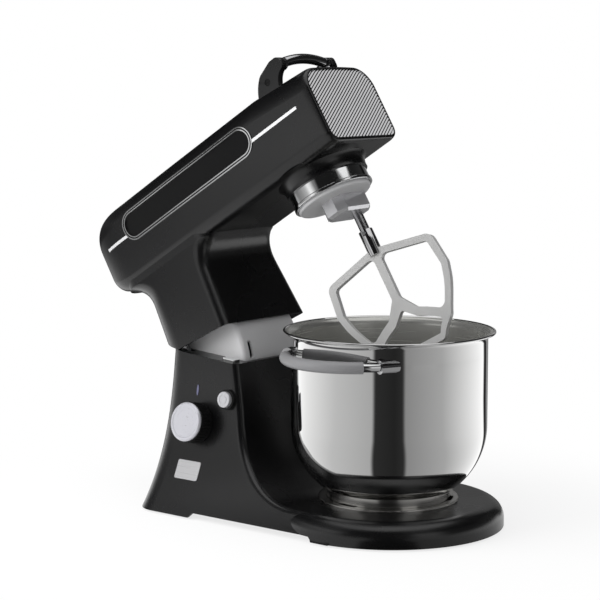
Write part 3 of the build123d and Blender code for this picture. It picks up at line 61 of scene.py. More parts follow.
RIGHT = Vector((1.0, 0.0, 0.0))
UP = Vector((0.0, 0.0, 1.0))
JOINTS = {joint["name"]: joint for joint in frame["record"]["behaviour"]["joints"]}
TILT = radians(-JOINTS["head_tilt"]["range_deg"][0])
HINGE = Vector(JOINTS["head_tilt"]["pos_m"])
RAISE = Matrix.Translation(HINGE) @ Matrix.Rotation(-TILT, 4, "Y") @ Matrix.Translation(-HINGE)


class Texture(Enum):
    """The kind of fine relief that a finish shows."""

    MOULDED = "moulded"
    CAST = "cast"
    RING_BRUSHED = "ring_brushed"
    LINE_BRUSHED = "line_brushed"
    POLISHED = "polished"


class Nodes:
    """Short-hand for adding and joining shader nodes in one tree."""

    def __init__(self, tree: bpy.types.NodeTree) -> None:
        """Keep the tree that nodes are added to."""
        self.tree = tree

    def add(self, kind: str, *values: Socket | float | Colour, **settings: object) -> bpy.types.Node:
        """Add a node.

        Args:
            kind: Blender's node type.
            values: its first inputs in order, each a socket to link from or a constant.
            settings: properties to set on it.

        Returns:
            The new node.
        """
        node = self.tree.nodes.new(kind)
        for key, value in settings.items():
            setattr(node, key, value)
        for target, value in zip(node.inputs, values):
            if isinstance(value, Socket):
                self.join(value, target)
            else:
                target.default_value = value
        return node

    def join(self, source: Socket, target: Socket) -> None:
        """Link one socket to another."""
        self.tree.links.new(source, target)

    def maths(self, operation: str, *values: Socket | float) -> Socket:
        """Work out a number from sockets and constants."""
        return self.add("ShaderNodeMath", *values, operation=operation).outputs["Value"]

    def vector(self, operation: str, *values: Socket | Colour) -> Socket:
        """Work out a vector, a length or a distance from sockets and constants."""
        node = self.add("ShaderNodeVectorMath", *values, operation=operation)
        return node.outputs["Value" if operation in ("LENGTH", "DISTANCE") else "Vector"]

    def combined(self, *values: Socket) -> Socket:
        """Put numbers together as a vector's X, Y and Z."""
        return self.add("ShaderNodeCombineXYZ", *values).outputs["Vector"]

    def parts(self, vector: Socket) -> list[Socket]:
        """Take a vector's X, Y and Z apart."""
        return list(self.add("ShaderNodeSeparateXYZ", vector).outputs)

    def place(self) -> Socket:
        """Place of the shaded point in the shared frame."""
        return self.add("ShaderNodeTexCoord").outputs["Object"]

    def ranged(self, value: Socket, span: Span, onto: Span = (0.0, 1.0), curve: str = "LINEAR") -> Socket:
        """Carry a number over from one range to another, along a straight line or a curve."""
        return self.add("ShaderNodeMapRange", value, *span, *onto, interpolation_type=curve).outputs["Result"]

    def noise(self, place: Socket, scale: Socket | float, detail: float) -> Socket:
        """Noise at a place, the same at all times."""
        still = 0.0
        return self.add("ShaderNodeTexNoise", place, still, scale, detail).outputs["Fac"]

    def mixed(self, share: Socket, first: bpy.types.Node, second: bpy.types.Node) -> bpy.types.Node:
        """Mix two shaders by a share of the second."""
        return self.add("ShaderNodeMixShader", share, first.outputs[0], second.outputs[0])

    def show(self, shader: bpy.types.Node, kind: str = "ShaderNodeOutputMaterial") -> None:
        """Put a shader on the surface."""
        self.add(kind, shader.outputs[0])


class Relief:
    """Shader groups for the fine relief and the slow changes of a surface, each built once."""

    _groups: dict[str, bpy.types.NodeTree] = {}

    @classmethod
    def start(cls, name: str, inputs: dict[str, float | None],
              outputs: list[str]) -> tuple[Nodes, dict, dict]:
        """Open a new group that puts out numbers.

        Args:
            name: the group's name.
            inputs: names of the number sockets with their defaults, or with None for a vector.
            outputs: names of the sockets put out.

        Returns:
            The node helper, the group's input sockets and its output sockets by name.
        """
        tree = bpy.data.node_groups.new(name, "ShaderNodeTree")
        for label, value in inputs.items():
            kind = "NodeSocketVector" if value is None else "NodeSocketFloat"
            socket = tree.interface.new_socket(label, in_out="INPUT", socket_type=kind)
            if value is not None:
                socket.default_value = value
        for label in outputs:
            tree.interface.new_socket(label, in_out="OUTPUT", socket_type="NodeSocketFloat")
        nodes = Nodes(tree)
        entry = nodes.add("NodeGroupInput")
        leave = nodes.add("NodeGroupOutput")
        cls._groups[name] = tree
        return nodes, {s.name: s for s in entry.outputs}, {s.name: s for s in leave.inputs}

    @classmethod
    def grain(cls) -> bpy.types.NodeTree:
        """Group for moulded or cast skin: a fine pebble with a coarser sway.

        Returns:
            The group.
        """
        if "SkinGrain" not in cls._groups:
            nodes, entry, leave = cls.start("SkinGrain", {"Scale": 900.0, "Sway": 9.0}, ["Height", "Mask"])
            place = nodes.place()
            nodes.join(nodes.noise(place, entry["Scale"], 3.0), leave["Height"])
            nodes.join(nodes.noise(place, entry["Sway"], 4.0), leave["Mask"])
        return cls._groups["SkinGrain"]

    @classmethod
    def brushed(cls) -> bpy.types.NodeTree:
        """Group for brushed metal: long scratches along X of a given place.

        Returns:
            The group.
        """
        if "BrushLines" not in cls._groups:
            inputs = {"Along": 12.0, "Across": 1600.0, "Place": None}
            nodes, entry, leave = cls.start("BrushLines", inputs, ["Height", "Mask"])
            stretch = nodes.combined(entry["Along"], entry["Across"], entry["Across"])
            lines = nodes.noise(nodes.vector("MULTIPLY", entry["Place"], stretch), 1.0, 3.0)
            nodes.join(lines, leave["Height"])
            nodes.join(lines, leave["Mask"])
        return cls._groups["BrushLines"]


COAT_ROUGHNESS = 0.12
LEAST_ROUGHNESS = 0.02
MASK_SPAN = (0.3, 0.7)
RING_STREAK = 1.2
LINE_STREAK = 14.0
CAST_SWAY = 60.0
SKIN_SWAY = 9.0


@dataclass(frozen=True)
class Finish:
    """One surface finish of the mixer.

    Attributes:
        name: the material's name.
        colour: its plain colour.
        roughness: its mean roughness.
        metallic: 1 for bare metal.
        texture: the kind of fine relief.
        grain: size of the relief, in features per metre.
        depth: height of the relief in metres.
        spread: how far the roughness strays from its mean.
        tint: how far the colour strays from its mean, as a share.
        coat: weight of a clear coat.
        gloss: strength of a plastic's reflection, 0.5 for plain plastic.
        centre: the point that ring brushing turns round.
        axis: the direction that ring brushing turns about, or that line brushing runs along.
    """

    name: str
    colour: Colour
    roughness: float
    metallic: float = 0.0
    texture: Texture = Texture.MOULDED
    grain: float = 900.0
    depth: float = 0.00002
    spread: float = 0.08
    tint: float = 0.12
    coat: float = 0.0
    gloss: float = 0.5
    centre: Colour = (0.0, 0.0, 0.0)
    axis: Colour = (0.0, 0.0, 1.0)

    def material(self) -> bpy.types.Material:
        """Build the finish's material, unless it was built before.

        Returns:
            The material.
        """
        known = bpy.data.materials.get(self.name)
        if known:
            return known
        material = bpy.data.materials.new(self.name)
        material.use_nodes = True
        material.node_tree.nodes.clear()
        nodes = Nodes(material.node_tree)
        shader = nodes.add("ShaderNodeBsdfPrincipled")
        shader.inputs["Metallic"].default_value = self.metallic
        shader.inputs["Coat Weight"].default_value = self.coat
        shader.inputs["Specular IOR Level"].default_value = self.gloss
        shader.inputs["Coat Roughness"].default_value = COAT_ROUGHNESS
        nodes.show(shader)
        relief = self._relief(nodes)
        self._colour(nodes, shader, relief)
        self._roughness(nodes, shader, relief)
        full = 1.0
        bump = nodes.add("ShaderNodeBump", full, self.depth)
        nodes.join(relief.outputs["Height"], bump.inputs["Height"])
        nodes.join(bump.outputs["Normal"], shader.inputs["Normal"])
        return material

    def _relief(self, nodes: Nodes) -> bpy.types.Node:
        """Place the relief group that suits the texture, and set its values.

        Args:
            nodes: the material's helper.

        Returns:
            The group's node.
        """
        group = nodes.add("ShaderNodeGroup")
        if self.texture in (Texture.RING_BRUSHED, Texture.LINE_BRUSHED):
            ring = self.texture is Texture.RING_BRUSHED
            group.node_tree = Relief.brushed()
            nodes.join(self._brush_place(nodes, ring), group.inputs["Place"])
            group.inputs["Along"].default_value = RING_STREAK if ring else LINE_STREAK
            group.inputs["Across"].default_value = self.grain
        else:
            group.node_tree = Relief.grain()
            group.inputs["Scale"].default_value = self.grain
            group.inputs["Sway"].default_value = CAST_SWAY if self.texture is Texture.CAST else SKIN_SWAY
        return group

    def _brush_place(self, nodes: Nodes, ring: bool) -> Socket:
        """Coordinates whose X runs along the brushing.

        Args:
            nodes: the material's helper.
            ring: whether the brushing runs round the axis, not along it.

        Returns:
            The socket of the coordinates.
        """
        turn = (UP if ring else RIGHT).rotation_difference(Vector(self.axis))
        rotate = nodes.add("ShaderNodeVectorRotate", rotation_type="EULER_XYZ")
        rotate.inputs["Rotation"].default_value = turn.inverted().to_euler("XYZ")
        nodes.join(nodes.vector("SUBTRACT", nodes.place(), self.centre), rotate.inputs["Vector"])
        if not ring:
            return rotate.outputs["Vector"]
        x, y, z = nodes.parts(rotate.outputs["Vector"])
        radius = nodes.vector("LENGTH", nodes.combined(x, y))
        return nodes.combined(nodes.maths("ARCTAN2", y, x), radius, z)

    def _colour(self, nodes: Nodes, shader: bpy.types.Node, relief: bpy.types.Node) -> None:
        """Let the colour stray a little round its mean.

        Args:
            nodes: the material's helper.
            shader: the shader that is set.
            relief: the relief group's node.
        """
        mix = nodes.add("ShaderNodeMix", data_type="RGBA")
        mix.inputs["A"].default_value = (*[c * (1 - self.tint) for c in self.colour], 1)
        mix.inputs["B"].default_value = (*[min(1, c * (1 + self.tint)) for c in self.colour], 1)
        nodes.join(relief.outputs["Mask"], mix.inputs["Factor"])
        nodes.join(mix.outputs["Result"], shader.inputs["Base Color"])

    def _roughness(self, nodes: Nodes, shader: bpy.types.Node, relief: bpy.types.Node) -> None:
        """Let the roughness stray a little round its mean."""
        onto = (max(LEAST_ROUGHNESS, self.roughness - self.spread), self.roughness + self.spread)
        nodes.join(nodes.ranged(relief.outputs["Mask"], MASK_SPAN, onto), shader.inputs["Roughness"])


@dataclass(frozen=True)
class GroovedFinish(Finish):
    """Bright metal of the slots' frames with a dark groove between its two edges.

    Attributes:
        middle: X and Z of the slot's middle with the head down.
        size: the slot's length and height.
        groove: depths from the outer edge between which the frame is dark.
        dark: the groove's colour.
        blur: half the width of the groove's soft edge.
        beside: more than the distance of any point from the head's middle plane.
    """

    middle: Span = (-0.133, 0.33)
    size: Span = (0.221, 0.036)
    groove: Span = (0.0012, 0.0031)
    dark: Colour = (0.003, 0.003, 0.003)
    blur: float = 0.00015
    beside: float = 10.0

    def _edge_depth(self, nodes: Nodes) -> Socket:
        """Distance of a point inward from the slot's outer edge.

        Args:
            nodes: the material's helper.

        Returns:
            The socket of the distance.
        """
        lower = nodes.add("ShaderNodeVectorRotate", rotation_type="Y_AXIS")
        lower.inputs["Center"].default_value = HINGE
        lower.inputs["Angle"].default_value = TILT
        nodes.join(nodes.place(), lower.inputs["Vector"])
        shifted = nodes.vector("SUBTRACT", lower.outputs["Vector"], (self.middle[0], 0.0, self.middle[1]))
        straight = ((self.size[0] - self.size[1]) / 2, self.beside, 0.0)
        ends = nodes.vector("SUBTRACT", nodes.vector("ABSOLUTE", shifted), straight)
        reach = nodes.vector("LENGTH", nodes.vector("MAXIMUM", ends, (0.0, 0.0, 0.0)))
        return nodes.maths("SUBTRACT", self.size[1] / 2, reach)

    def _colour(self, nodes: Nodes, shader: bpy.types.Node, relief: bpy.types.Node) -> None:
        """Paint the groove dark and leave both edges bright.

        Args:
            nodes: the material's helper.
            shader: the shader that is set.
            relief: the relief group's node.
        """
        off = nodes.maths("SUBTRACT", self._edge_depth(nodes), sum(self.groove) / 2)
        half = (self.groove[1] - self.groove[0]) / 2
        edge = nodes.ranged(nodes.maths("ABSOLUTE", off), (half - self.blur, half + self.blur))
        mix = nodes.add("ShaderNodeMix", data_type="RGBA")
        mix.inputs["A"].default_value = (*self.dark, 1)
        mix.inputs["B"].default_value = (*self.colour, 1)
        nodes.join(edge, mix.inputs["Factor"])
        nodes.join(mix.outputs["Result"], shader.inputs["Base Color"])
        nodes.join(edge, shader.inputs["Metallic"])


KNOB_CENTRE = tuple(JOINTS["speed_knob_turn"]["pos_m"])
KNOB_AXIS = tuple(JOINTS["speed_knob_turn"]["axis"])
BUTTON_CENTRE = (-0.16, -0.0783299, 0.128)
BUTTON_AXIS = tuple(-part for part in JOINTS["release_button_push"]["axis"])

BLACK_SATIN = Finish("BlackSatinHousing", (0.0022, 0.0022, 0.0025), 0.27, grain=1500, depth=0.000006,
                     spread=0.03, gloss=0.75)
BLACK_MATT = Finish("BlackMattTrim", (0.003, 0.003, 0.0033), 0.5, grain=1300, depth=0.00001)
INLAY = Finish("DarkInlay", (0.002, 0.002, 0.0022), 0.5, grain=2200, depth=0.00001, gloss=0.32)

polished = partial(Finish, metallic=1.0, texture=Texture.POLISHED, grain=700, depth=0.0000005, spread=0.03,
                   tint=0.05)
CHROME = polished("BrightChrome", (0.8, 0.805, 0.81), 0.07, tint=0.03)
SOCKET_CHROME = polished("SocketChrome", (0.62, 0.62, 0.63), 0.12)
# Painted shade: the same chrome as the bright parts, darkened to stand in for the dark reflections that the
# grip and the brackets show.
CHROME_WITH_PAINTED_SHADE = polished("GripDarkChrome", (0.5, 0.5, 0.51), 0.1)
BLOCK_CHROME = polished("BlockSatinChrome", (0.74, 0.74, 0.76), 0.2, metallic=0.7, grain=900, spread=0.04,
                        tint=0.04)
RIB_SILVER = polished("RibbedFrontSilver", (0.53, 0.53, 0.54), 0.14, spread=0.04)
MIRROR_STEEL = polished("PolishedBowlSteel", (0.78, 0.78, 0.775), 0.045, grain=500, depth=0.0000003,
                        spread=0.02, tint=0.03)
SLOT_CHROME = GroovedFinish("SlotFrameChrome", (0.8, 0.805, 0.81), 0.12, 1.0, Texture.POLISHED, 700,
                            0.0000005, 0.03)

silvered = partial(Finish, roughness=0.3, metallic=0.5, texture=Texture.RING_BRUSHED, grain=1500,
                   depth=0.0000002, spread=0.03, tint=0.02)
KNOB_SILVER = silvered("KnobSilver", (0.56, 0.56, 0.6), centre=KNOB_CENTRE, axis=KNOB_AXIS)
BUTTON_SILVER = silvered("ButtonSilver", (0.54, 0.54, 0.56), centre=BUTTON_CENTRE, axis=BUTTON_AXIS)
PLATE_SILVER = Finish("PlateSilver", (0.56, 0.56, 0.57), 0.3, 0.6, Texture.LINE_BRUSHED, 2400,
                      0.0000003, 0.04, 0.03, axis=(1, 0, 0))
STRIP_SILVER = Finish("StripSilver", (0.86, 0.86, 0.87), 0.2, 0.5, Texture.LINE_BRUSHED, 2000,
                      0.0000005, 0.04, 0.03)
SPUN_STEEL = Finish("SpunBowlSteel", (0.52, 0.52, 0.495), 0.24, 0.7, Texture.RING_BRUSHED, 1900,
                    0.0000003, 0.04, 0.05)
FOOT_STEEL = Finish("FootRingSteel", (0.56, 0.55, 0.53), 0.2, 1.0, Texture.RING_BRUSHED, 1500,
                    0.000002, 0.06, 0.1)
CAST_ALLOY = Finish("CastAlloy", (0.54, 0.54, 0.535), 0.36, 0.3, Texture.CAST, 1400, 0.0000008, 0.05, 0.04)
GREY_SHELL = Finish("GreyShell", (0.47, 0.47, 0.475), 0.42, grain=1400, depth=0.00001, tint=0.05)
SOFT_GRIP = Finish("SoftGripGrey", (0.19, 0.19, 0.195), 0.36, grain=1700, depth=0.00001, tint=0.05)
RUBBER = Finish("BlackRubber", (0.008, 0.008, 0.008), 0.75, grain=800, depth=0.00003)
STEEL = Finish("TurnedSteel", (0.48, 0.48, 0.49), 0.24, 1.0, Texture.CAST, 1200, 0.000002, 0.07, 0.08)
GEAR_NYLON = Finish("GearNylon", (0.7, 0.66, 0.55), 0.45, grain=700, depth=0.00001)
BRASS = Finish("TurnedBrass", (0.7, 0.5, 0.2), 0.3, 1.0, Texture.CAST, 1200, 0.000005)
CORE_IRON = Finish("CoreIron", (0.2, 0.13, 0.09), 0.5, 0.6, Texture.CAST, 900, 0.00001)
BOARD_GREEN = Finish("BoardGreen", (0.02, 0.12, 0.05), 0.4, grain=600, depth=0.00001)
LENS_BLUE = Finish("LensBlue", (0.1, 0.1, 0.17), 0.15, grain=500, depth=0.000005, coat=0.5)

NODE_FINISHES: dict[Finish, tuple[str, ...]] = {
    BLACK_SATIN: ("stand_housing", "head_top_cover", "head_lower_housing"),
    BLACK_MATT: ("bottom_cover", "cord_gland", "knob_body", "speed_switch", "button_collar", "button_stem",
                 "handle_screws", "cooling_fan"),
    INLAY: ("slot_panel_left", "slot_panel_right"),
    CHROME: ("lock_tongue", "bowl_handle_rod", "hub_collar"),
    SLOT_CHROME: ("slot_frame_left", "slot_frame_right"),
    FOOT_STEEL: ("bowl_seat", "bowl_foot"),
    BUTTON_SILVER: ("button_cap",),
    PLATE_SILVER: ("name_plate",),
    STRIP_SILVER: ("trim_strips",),
    # the grip and the brackets take the chrome that is darkened as painted shade
    CHROME_WITH_PAINTED_SHADE: ("bowl_handle_brackets", "handle_grip"),
    BLOCK_CHROME: ("output_block",),
    CAST_ALLOY: ("gearbox_plate", "chassis_plate", "big_pulley"),
    GREY_SHELL: ("hinge_housing", "planet_carrier"),
    SOFT_GRIP: ("bowl_handle_sleeve",),
    RUBBER: ("rubber_feet", "drive_belt"),
    STEEL: ("cover_screws", "hinge_pin", "hinge_lugs", "ring_gear", "chassis_screws", "ball_bearings",
            "motor_can", "layshaft", "main_shaft", "planet_gear", "output_shaft"),
    GEAR_NYLON: ("main_gear",),
    BRASS: ("motor_pulley",),
    CORE_IRON: ("stator_core", "motor_rotor"),
    BOARD_GREEN: ("control_board",),
    LENS_BLUE: ("indicator_lens",),
}

SHARP_EDGE = radians(35)
SAME_PLANE = radians(1.0)
CAD_MERGE = 0.000002
SPIN_MERGE = 0.000005
CUT_MERGE = 0.0000005


def dress_node(name: str, finish: Finish) -> None:
    """Give a CAD piece its finish.

    Args:
        name: the piece's node.
        finish: its finish.
    """
    piece = frame["nodes"][name]
    piece.data.materials.clear()
    piece.data.materials.append(finish.material())


def new_piece(name: str, node: str, mesh: BMesh, finishes: list[Finish], body: str,
              crease: float = 180.0, flat: float = 1.0) -> bpy.types.Object:
    """Turn a bmesh into a piece that rides on a body and stands for a CAD piece.

    Args:
        name: the new piece's name.
        node: the CAD piece.
        mesh: its shape, freed here.
        finishes: its finishes, one for each material index.
        body: the body that it moves with.
        crease: angle in degrees above which an edge stays sharp.
        flat: area in square metres above which a face is shaded flat.

    Returns:
        The new piece.
    """
    data = bpy.data.meshes.new(name)
    for face in mesh.faces:
        face.smooth = face.calc_area() < flat
    for edge in mesh.edges:
        edge.smooth = edge.calc_face_angle(0.0) < radians(crease)
    mesh.to_mesh(data)
    mesh.free()
    for finish in finishes:
        data.materials.append(finish.material())
    piece = bpy.data.objects.new(name, data)
    bpy.context.scene.collection.objects.link(piece)
    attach(piece, body)
    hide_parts(node)
    LOG.info("made %s with %d faces", name, len(data.polygons))
    return piece


def eased(share: float) -> float:
    """Share from 0 to 1 with a soft start and end."""
    share = min(1.0, max(0.0, share))
    return share * share * (3 - 2 * share)


def merged_copy(node: str, lowered: bool = False) -> BMesh:
    """Copy a CAD piece's mesh with its triangles joined into faces.

    Args:
        node: the CAD piece.
        lowered: whether the copy of a piece of the head is moved to where it is with the head down.

    Returns:
        The copy.
    """
    mesh = bmesh.new()
    mesh.from_mesh(frame["nodes"][node].data)
    bmesh.ops.remove_doubles(mesh, verts=mesh.verts, dist=CAD_MERGE)
    bmesh.ops.dissolve_limit(mesh, angle_limit=SAME_PLANE, verts=mesh.verts, edges=mesh.edges)
    if lowered:
        bmesh.ops.transform(mesh, matrix=RAISE.inverted(), verts=mesh.verts)
        mesh.normal_update()
    return mesh


def raise_mesh(mesh: BMesh) -> None:
    """Move a mesh that was shaped with the head down to where it is with the head raised."""
    bmesh.ops.transform(mesh, matrix=RAISE, verts=mesh.verts)


def cut_across(mesh: BMesh, place: Vector, normal: Vector, geometry: list | None = None) -> None:
    """Cut a mesh, or some of its geometry, along a plane and keep both sides."""
    whole = geometry or mesh.verts[:] + mesh.edges[:] + mesh.faces[:]
    bmesh.ops.bisect_plane(mesh, geom=whole, dist=CUT_MERGE, plane_co=place, plane_no=normal)


def round_edges(mesh: BMesh, radius: float) -> None:
    """Round a mesh's sharp edges.

    Args:
        mesh: the mesh.
        radius: the rounding's radius in metres.
    """
    sharp = [e for e in mesh.edges if len(e.link_faces) == 2 and e.calc_face_angle(0.0) > SHARP_EDGE]
    bmesh.ops.bevel(mesh, geom=sharp, offset=radius, offset_type="OFFSET", segments=3, profile=0.5,
                    affect="EDGES", clamp_overlap=True, material=-1)


def spun(section: list[Span], steps: int) -> BMesh:
    """Spin a half section round the Z axis.

    Args:
        section: radius and height of each point.
        steps: faces round the axis.

    Returns:
        The spun mesh.
    """
    mesh = bmesh.new()
    verts = [mesh.verts.new((r, 0.0, z)) for r, z in section]
    edges = [mesh.edges.new(pair) for pair in zip(verts, verts[1:])]
    bmesh.ops.spin(mesh, geom=verts + edges, cent=(0, 0, 0), axis=(0, 0, 1), angle=2 * pi, steps=steps,
                   use_merge=True)
    bmesh.ops.remove_doubles(mesh, verts=mesh.verts, dist=SPIN_MERGE)
    bmesh.ops.recalc_face_normals(mesh, faces=mesh.faces)
    return mesh


@dataclass
class MixingBowl:
    """The steel bowl, spun smooth, mirror bright outside and spun grey inside.

    Attributes:
        radius: outside of the straight wall.
        wall: its thickness.
        curve: radius of the curve into the bottom.
        curve_top: height where that curve starts.
        floor: height of the bottom's underside.
        flat: share of the bottom's flat that is one face wide.
        top: height of the rolled edge.
        lip: radius of the flare below that edge.
        lip_turn: how far the flare turns, in degrees.
        edge: radius of the rolled edge.
        edge_turn: how far the edge rolls to each side, in degrees.
        inner_lip: share of the flare that has the inside's finish.
        inner_slope: how far down the view is that tells the inside from the outside.
        curve_steps: points along the bottom's curve.
        wall_steps: points up the wall, and along the flare.
        edge_steps: points round the edge.
        steps: faces round the bowl.
    """

    radius: float = 0.1055
    wall: float = 0.0012
    curve: float = 0.085
    curve_top: float = 0.1104
    floor: float = 0.0412
    flat: float = 0.6
    top: float = 0.212
    lip: float = 0.007
    lip_turn: float = 78.0
    edge: float = 0.0015
    edge_turn: float = 155.0
    inner_lip: float = 0.8
    inner_slope: float = 0.4
    curve_steps: int = 24
    wall_steps: int = 6
    edge_steps: int = 12
    steps: int = 224

    def _wall_points(self, inset: float) -> list[Span]:
        """Half section from the middle of the bottom up along the flared lip.

        Args:
            inset: distance inward from the outside.

        Returns:
            Radius and height of each point.
        """
        centre = self.radius - self.curve
        curve = self.curve - inset
        floor = self.floor + inset
        start = asin((self.curve_top - floor) / curve)
        points = [(0.0, floor), (centre * self.flat, floor)]
        for k in range(self.curve_steps + 1):
            turn = start * (1 - k / self.curve_steps)
            points.append((centre + curve * cos(turn), self.curve_top - curve * sin(turn)))
        lip_z = self.top - self.edge - self.lip - self.wall / 2
        for k in range(1, self.wall_steps + 1):
            height = self.curve_top + (lip_z - self.curve_top) * k / self.wall_steps
            points.append((self.radius - inset, height))
        for k in range(1, self.wall_steps + 1):
            turn = radians(self.lip_turn * k / self.wall_steps)
            reach = self.lip + inset
            points.append((self.radius + self.lip - reach * cos(turn), lip_z + reach * sin(turn)))
        return points

    def _edge_points(self) -> list[Span]:
        """Round section of the rolled edge.

        Returns:
            Radius and height of each point.
        """
        points = []
        for k in range(self.edge_steps + 1):
            turn = radians(self.edge_turn) * (2 * k / self.edge_steps - 1)
            radius = self.radius + self.lip + self.edge * cos(turn)
            points.append((radius, self.top - self.edge + self.edge * sin(turn)))
        return points

    def build(self) -> bpy.types.Object:
        """Spin the section round the bowl's axis.

        Returns:
            The bowl, in place of the CAD shell.
        """
        inner = self._wall_points(self.wall)
        mesh = spun(self._wall_points(0.0) + self._edge_points() + inner[::-1], self.steps)
        for face in mesh.faces:
            middle = face.calc_center_median()
            outward = Vector((middle.x, middle.y, -self.inner_slope * middle.length))
            below_lip = middle.xy.length < self.radius + self.inner_lip * self.lip
            face.material_index = int(face.normal.dot(outward) < 0 and below_lip)
        finishes = [MIRROR_STEEL, SPUN_STEEL]
        return new_piece("bowl_shell_spun", "bowl_shell", mesh, finishes, "bowl")


@dataclass
class Beater:
    """The cast flat beater with its bright socket.

    Attributes:
        rounding: radius of the bars' edges.
        socket_base: height of the socket's foot with the head down.
        socket_clear: height above that foot where only the socket is left.
        yaw: turn of the beater about its shaft, in degrees.
        curve: heights between which the outer bars curve in.
        draw: how far they curve in.
        span: distances from the shaft between which that draw grows to the full.
        cut: height between the cuts across the bars.
        flat: area above which a face is shaded flat.
    """

    rounding: float = 0.0024
    socket_base: float = 0.1725
    socket_clear: float = 0.006
    yaw: float = 18.0
    curve: Span = (0.056, 0.108)
    draw: float = 0.0085
    span: Span = (0.018, 0.05)
    cut: float = 0.004
    flat: float = 0.00002

    def _curve_in(self, mesh: BMesh) -> None:
        """Curve the outer bars in towards the beater's round bottom.

        Args:
            mesh: the beater with the head down.
        """
        socket = [v.co for v in mesh.verts if v.co.z > self.socket_base + self.socket_clear]
        centre = (Vector(map(min, zip(*socket))) + Vector(map(max, zip(*socket)))) / 2
        across = Vector((cos(radians(self.yaw)), sin(radians(self.yaw)), 0.0))
        height = min(v.co.z for v in mesh.verts) + self.cut
        while height < self.curve[1]:
            cut_across(mesh, UP * height, UP)
            height += self.cut
        for vert in mesh.verts:
            side = across.dot(vert.co - centre)
            low = eased((self.curve[1] - vert.co.z) / (self.curve[1] - self.curve[0]))
            out = eased((abs(side) - self.span[0]) / (self.span[1] - self.span[0]))
            vert.co -= across * self.draw * low * out * (1 if side > 0 else -1)

    def build(self) -> bpy.types.Object:
        """Curve the CAD beater's bars, round their edges and brighten its socket.

        Returns:
            The beater.
        """
        mesh = merged_copy("flat_beater", lowered=True)
        self._curve_in(mesh)
        round_edges(mesh, self.rounding)
        for face in mesh.faces:
            face.material_index = int(face.calc_center_median().z > self.socket_base)
        raise_mesh(mesh)
        finishes = [CAST_ALLOY, SOCKET_CHROME]
        return new_piece("flat_beater_soft", "flat_beater", mesh, finishes, "tool",
                         flat=self.flat)


@dataclass
class SpeedKnob:
    """The speed knob's silver cap with a bright bevel round a shallow dish.

    Attributes:
        bevel: width of the bevel.
        ring: width of the flat ring inside it.
        dish: depth of the dish in the middle.
        crease: angle in degrees above which an edge stays sharp.
        steps: faces round the cap.
    """

    bevel: float = 0.0014
    ring: float = 0.0022
    dish: float = 0.0009
    crease: float = 12.0
    steps: int = 96

    def build(self) -> bpy.types.Object:
        """Spin the cap's section round the knob's axis.

        Returns:
            The cap, in place of the CAD one.
        """
        axis = Vector(KNOB_AXIS)
        centre = Vector(KNOB_CENTRE)
        points = [v.co - centre for v in frame["nodes"]["knob_cap"].data.vertices]
        back = min(p.dot(axis) for p in points)
        front = max(p.dot(axis) for p in points)
        radius = max((p - axis * p.dot(axis)).length for p in points)
        inner = radius - self.bevel - self.ring
        section = [(0.0, back), (radius, back), (radius, front - self.bevel), (radius - self.bevel, front)]
        section += [(inner, front), (inner - self.dish, front - self.dish / 2), (0.0, front - self.dish)]
        mesh = spun(section, self.steps)
        turn = UP.rotation_difference(axis).to_matrix().to_4x4()
        bmesh.ops.transform(mesh, matrix=Matrix.Translation(centre) @ turn, verts=mesh.verts)
        return new_piece("knob_cap_dished", "knob_cap", mesh, [KNOB_SILVER], "speed_knob",
                         self.crease)


@dataclass
class ButtonSpring:
    """The release button's return spring, copied whole; it rides on the stand and keeps its length when the
    button goes in.

    Attributes:
        joint: the button's slide; not used.
        room: gap kept between the pressed spring and the cap; not used.
    """

    joint: str = "release_button_push"
    room: float = 0.0003

    def build(self) -> bpy.types.Object:
        """Copy the CAD spring and give the copy a mesh of its own.

        Returns:
            The spring.
        """
        mesh = merged_copy("button_spring")
        piece = new_piece("button_spring_wire", "button_spring", mesh, [STEEL], "stand")
        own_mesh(piece)
        return piece


@dataclass
class LiftHandle:
    """The handle on the head's top.

    Attributes:
        rounding: radius of the arms' edges.
        bows: start and end of each side of the arm that bows, as X and height, and how far it bows out.
        cuts: cuts across each of those sides.
        near: distance from a side within which a point is on it.
        flat: area above which a face is shaded flat.
    """

    rounding: float = 0.0016
    bows: tuple[tuple[float, float, float, float, float], ...] = (
        (-0.0023, 0.361, 0.012, 0.382, 0.0018), (0.0302, 0.361, 0.0448, 0.3752, 0.0028))
    cuts: int = 9
    near: float = 0.0001
    flat: float = 0.00005

    def _bow(self, mesh: BMesh, start: Vector, end: Vector, height: float) -> None:
        """Bow one straight side of the arms into a curve.

        Args:
            mesh: the arms with the head down.
            start: one end of the side.
            end: its other end.
            height: how far its middle bows out.
        """
        along = end - start
        outward = Vector((-along.z, 0.0, along.x)).normalized()
        for k in range(self.cuts + 1):
            cut_across(mesh, start.lerp(end, k / self.cuts), along.normalized())
        for vert in mesh.verts:
            flat = Vector((vert.co.x, 0.0, vert.co.z)) - start
            share = flat.dot(along) / along.length_squared
            if 0 < share < 1 and abs(flat.dot(outward)) < self.near:
                vert.co += outward * height * 4 * share * (1 - share)

    def build(self) -> bpy.types.Object:
        """Bow the CAD arms' straight sides and round their edges.

        Returns:
            The two arms.
        """
        mesh = merged_copy("handle_arms", lowered=True)
        for x0, z0, x1, z1, height in self.bows:
            self._bow(mesh, Vector((x0, 0.0, z0)), Vector((x1, 0.0, z1)), height)
        bmesh.ops.dissolve_limit(mesh, angle_limit=SAME_PLANE / 2, verts=mesh.verts, edges=mesh.edges)
        raise_mesh(mesh)
        round_edges(mesh, self.rounding)
        return new_piece("handle_arms_soft", "handle_arms", mesh, [BLACK_SATIN], "head",
                         flat=self.flat)


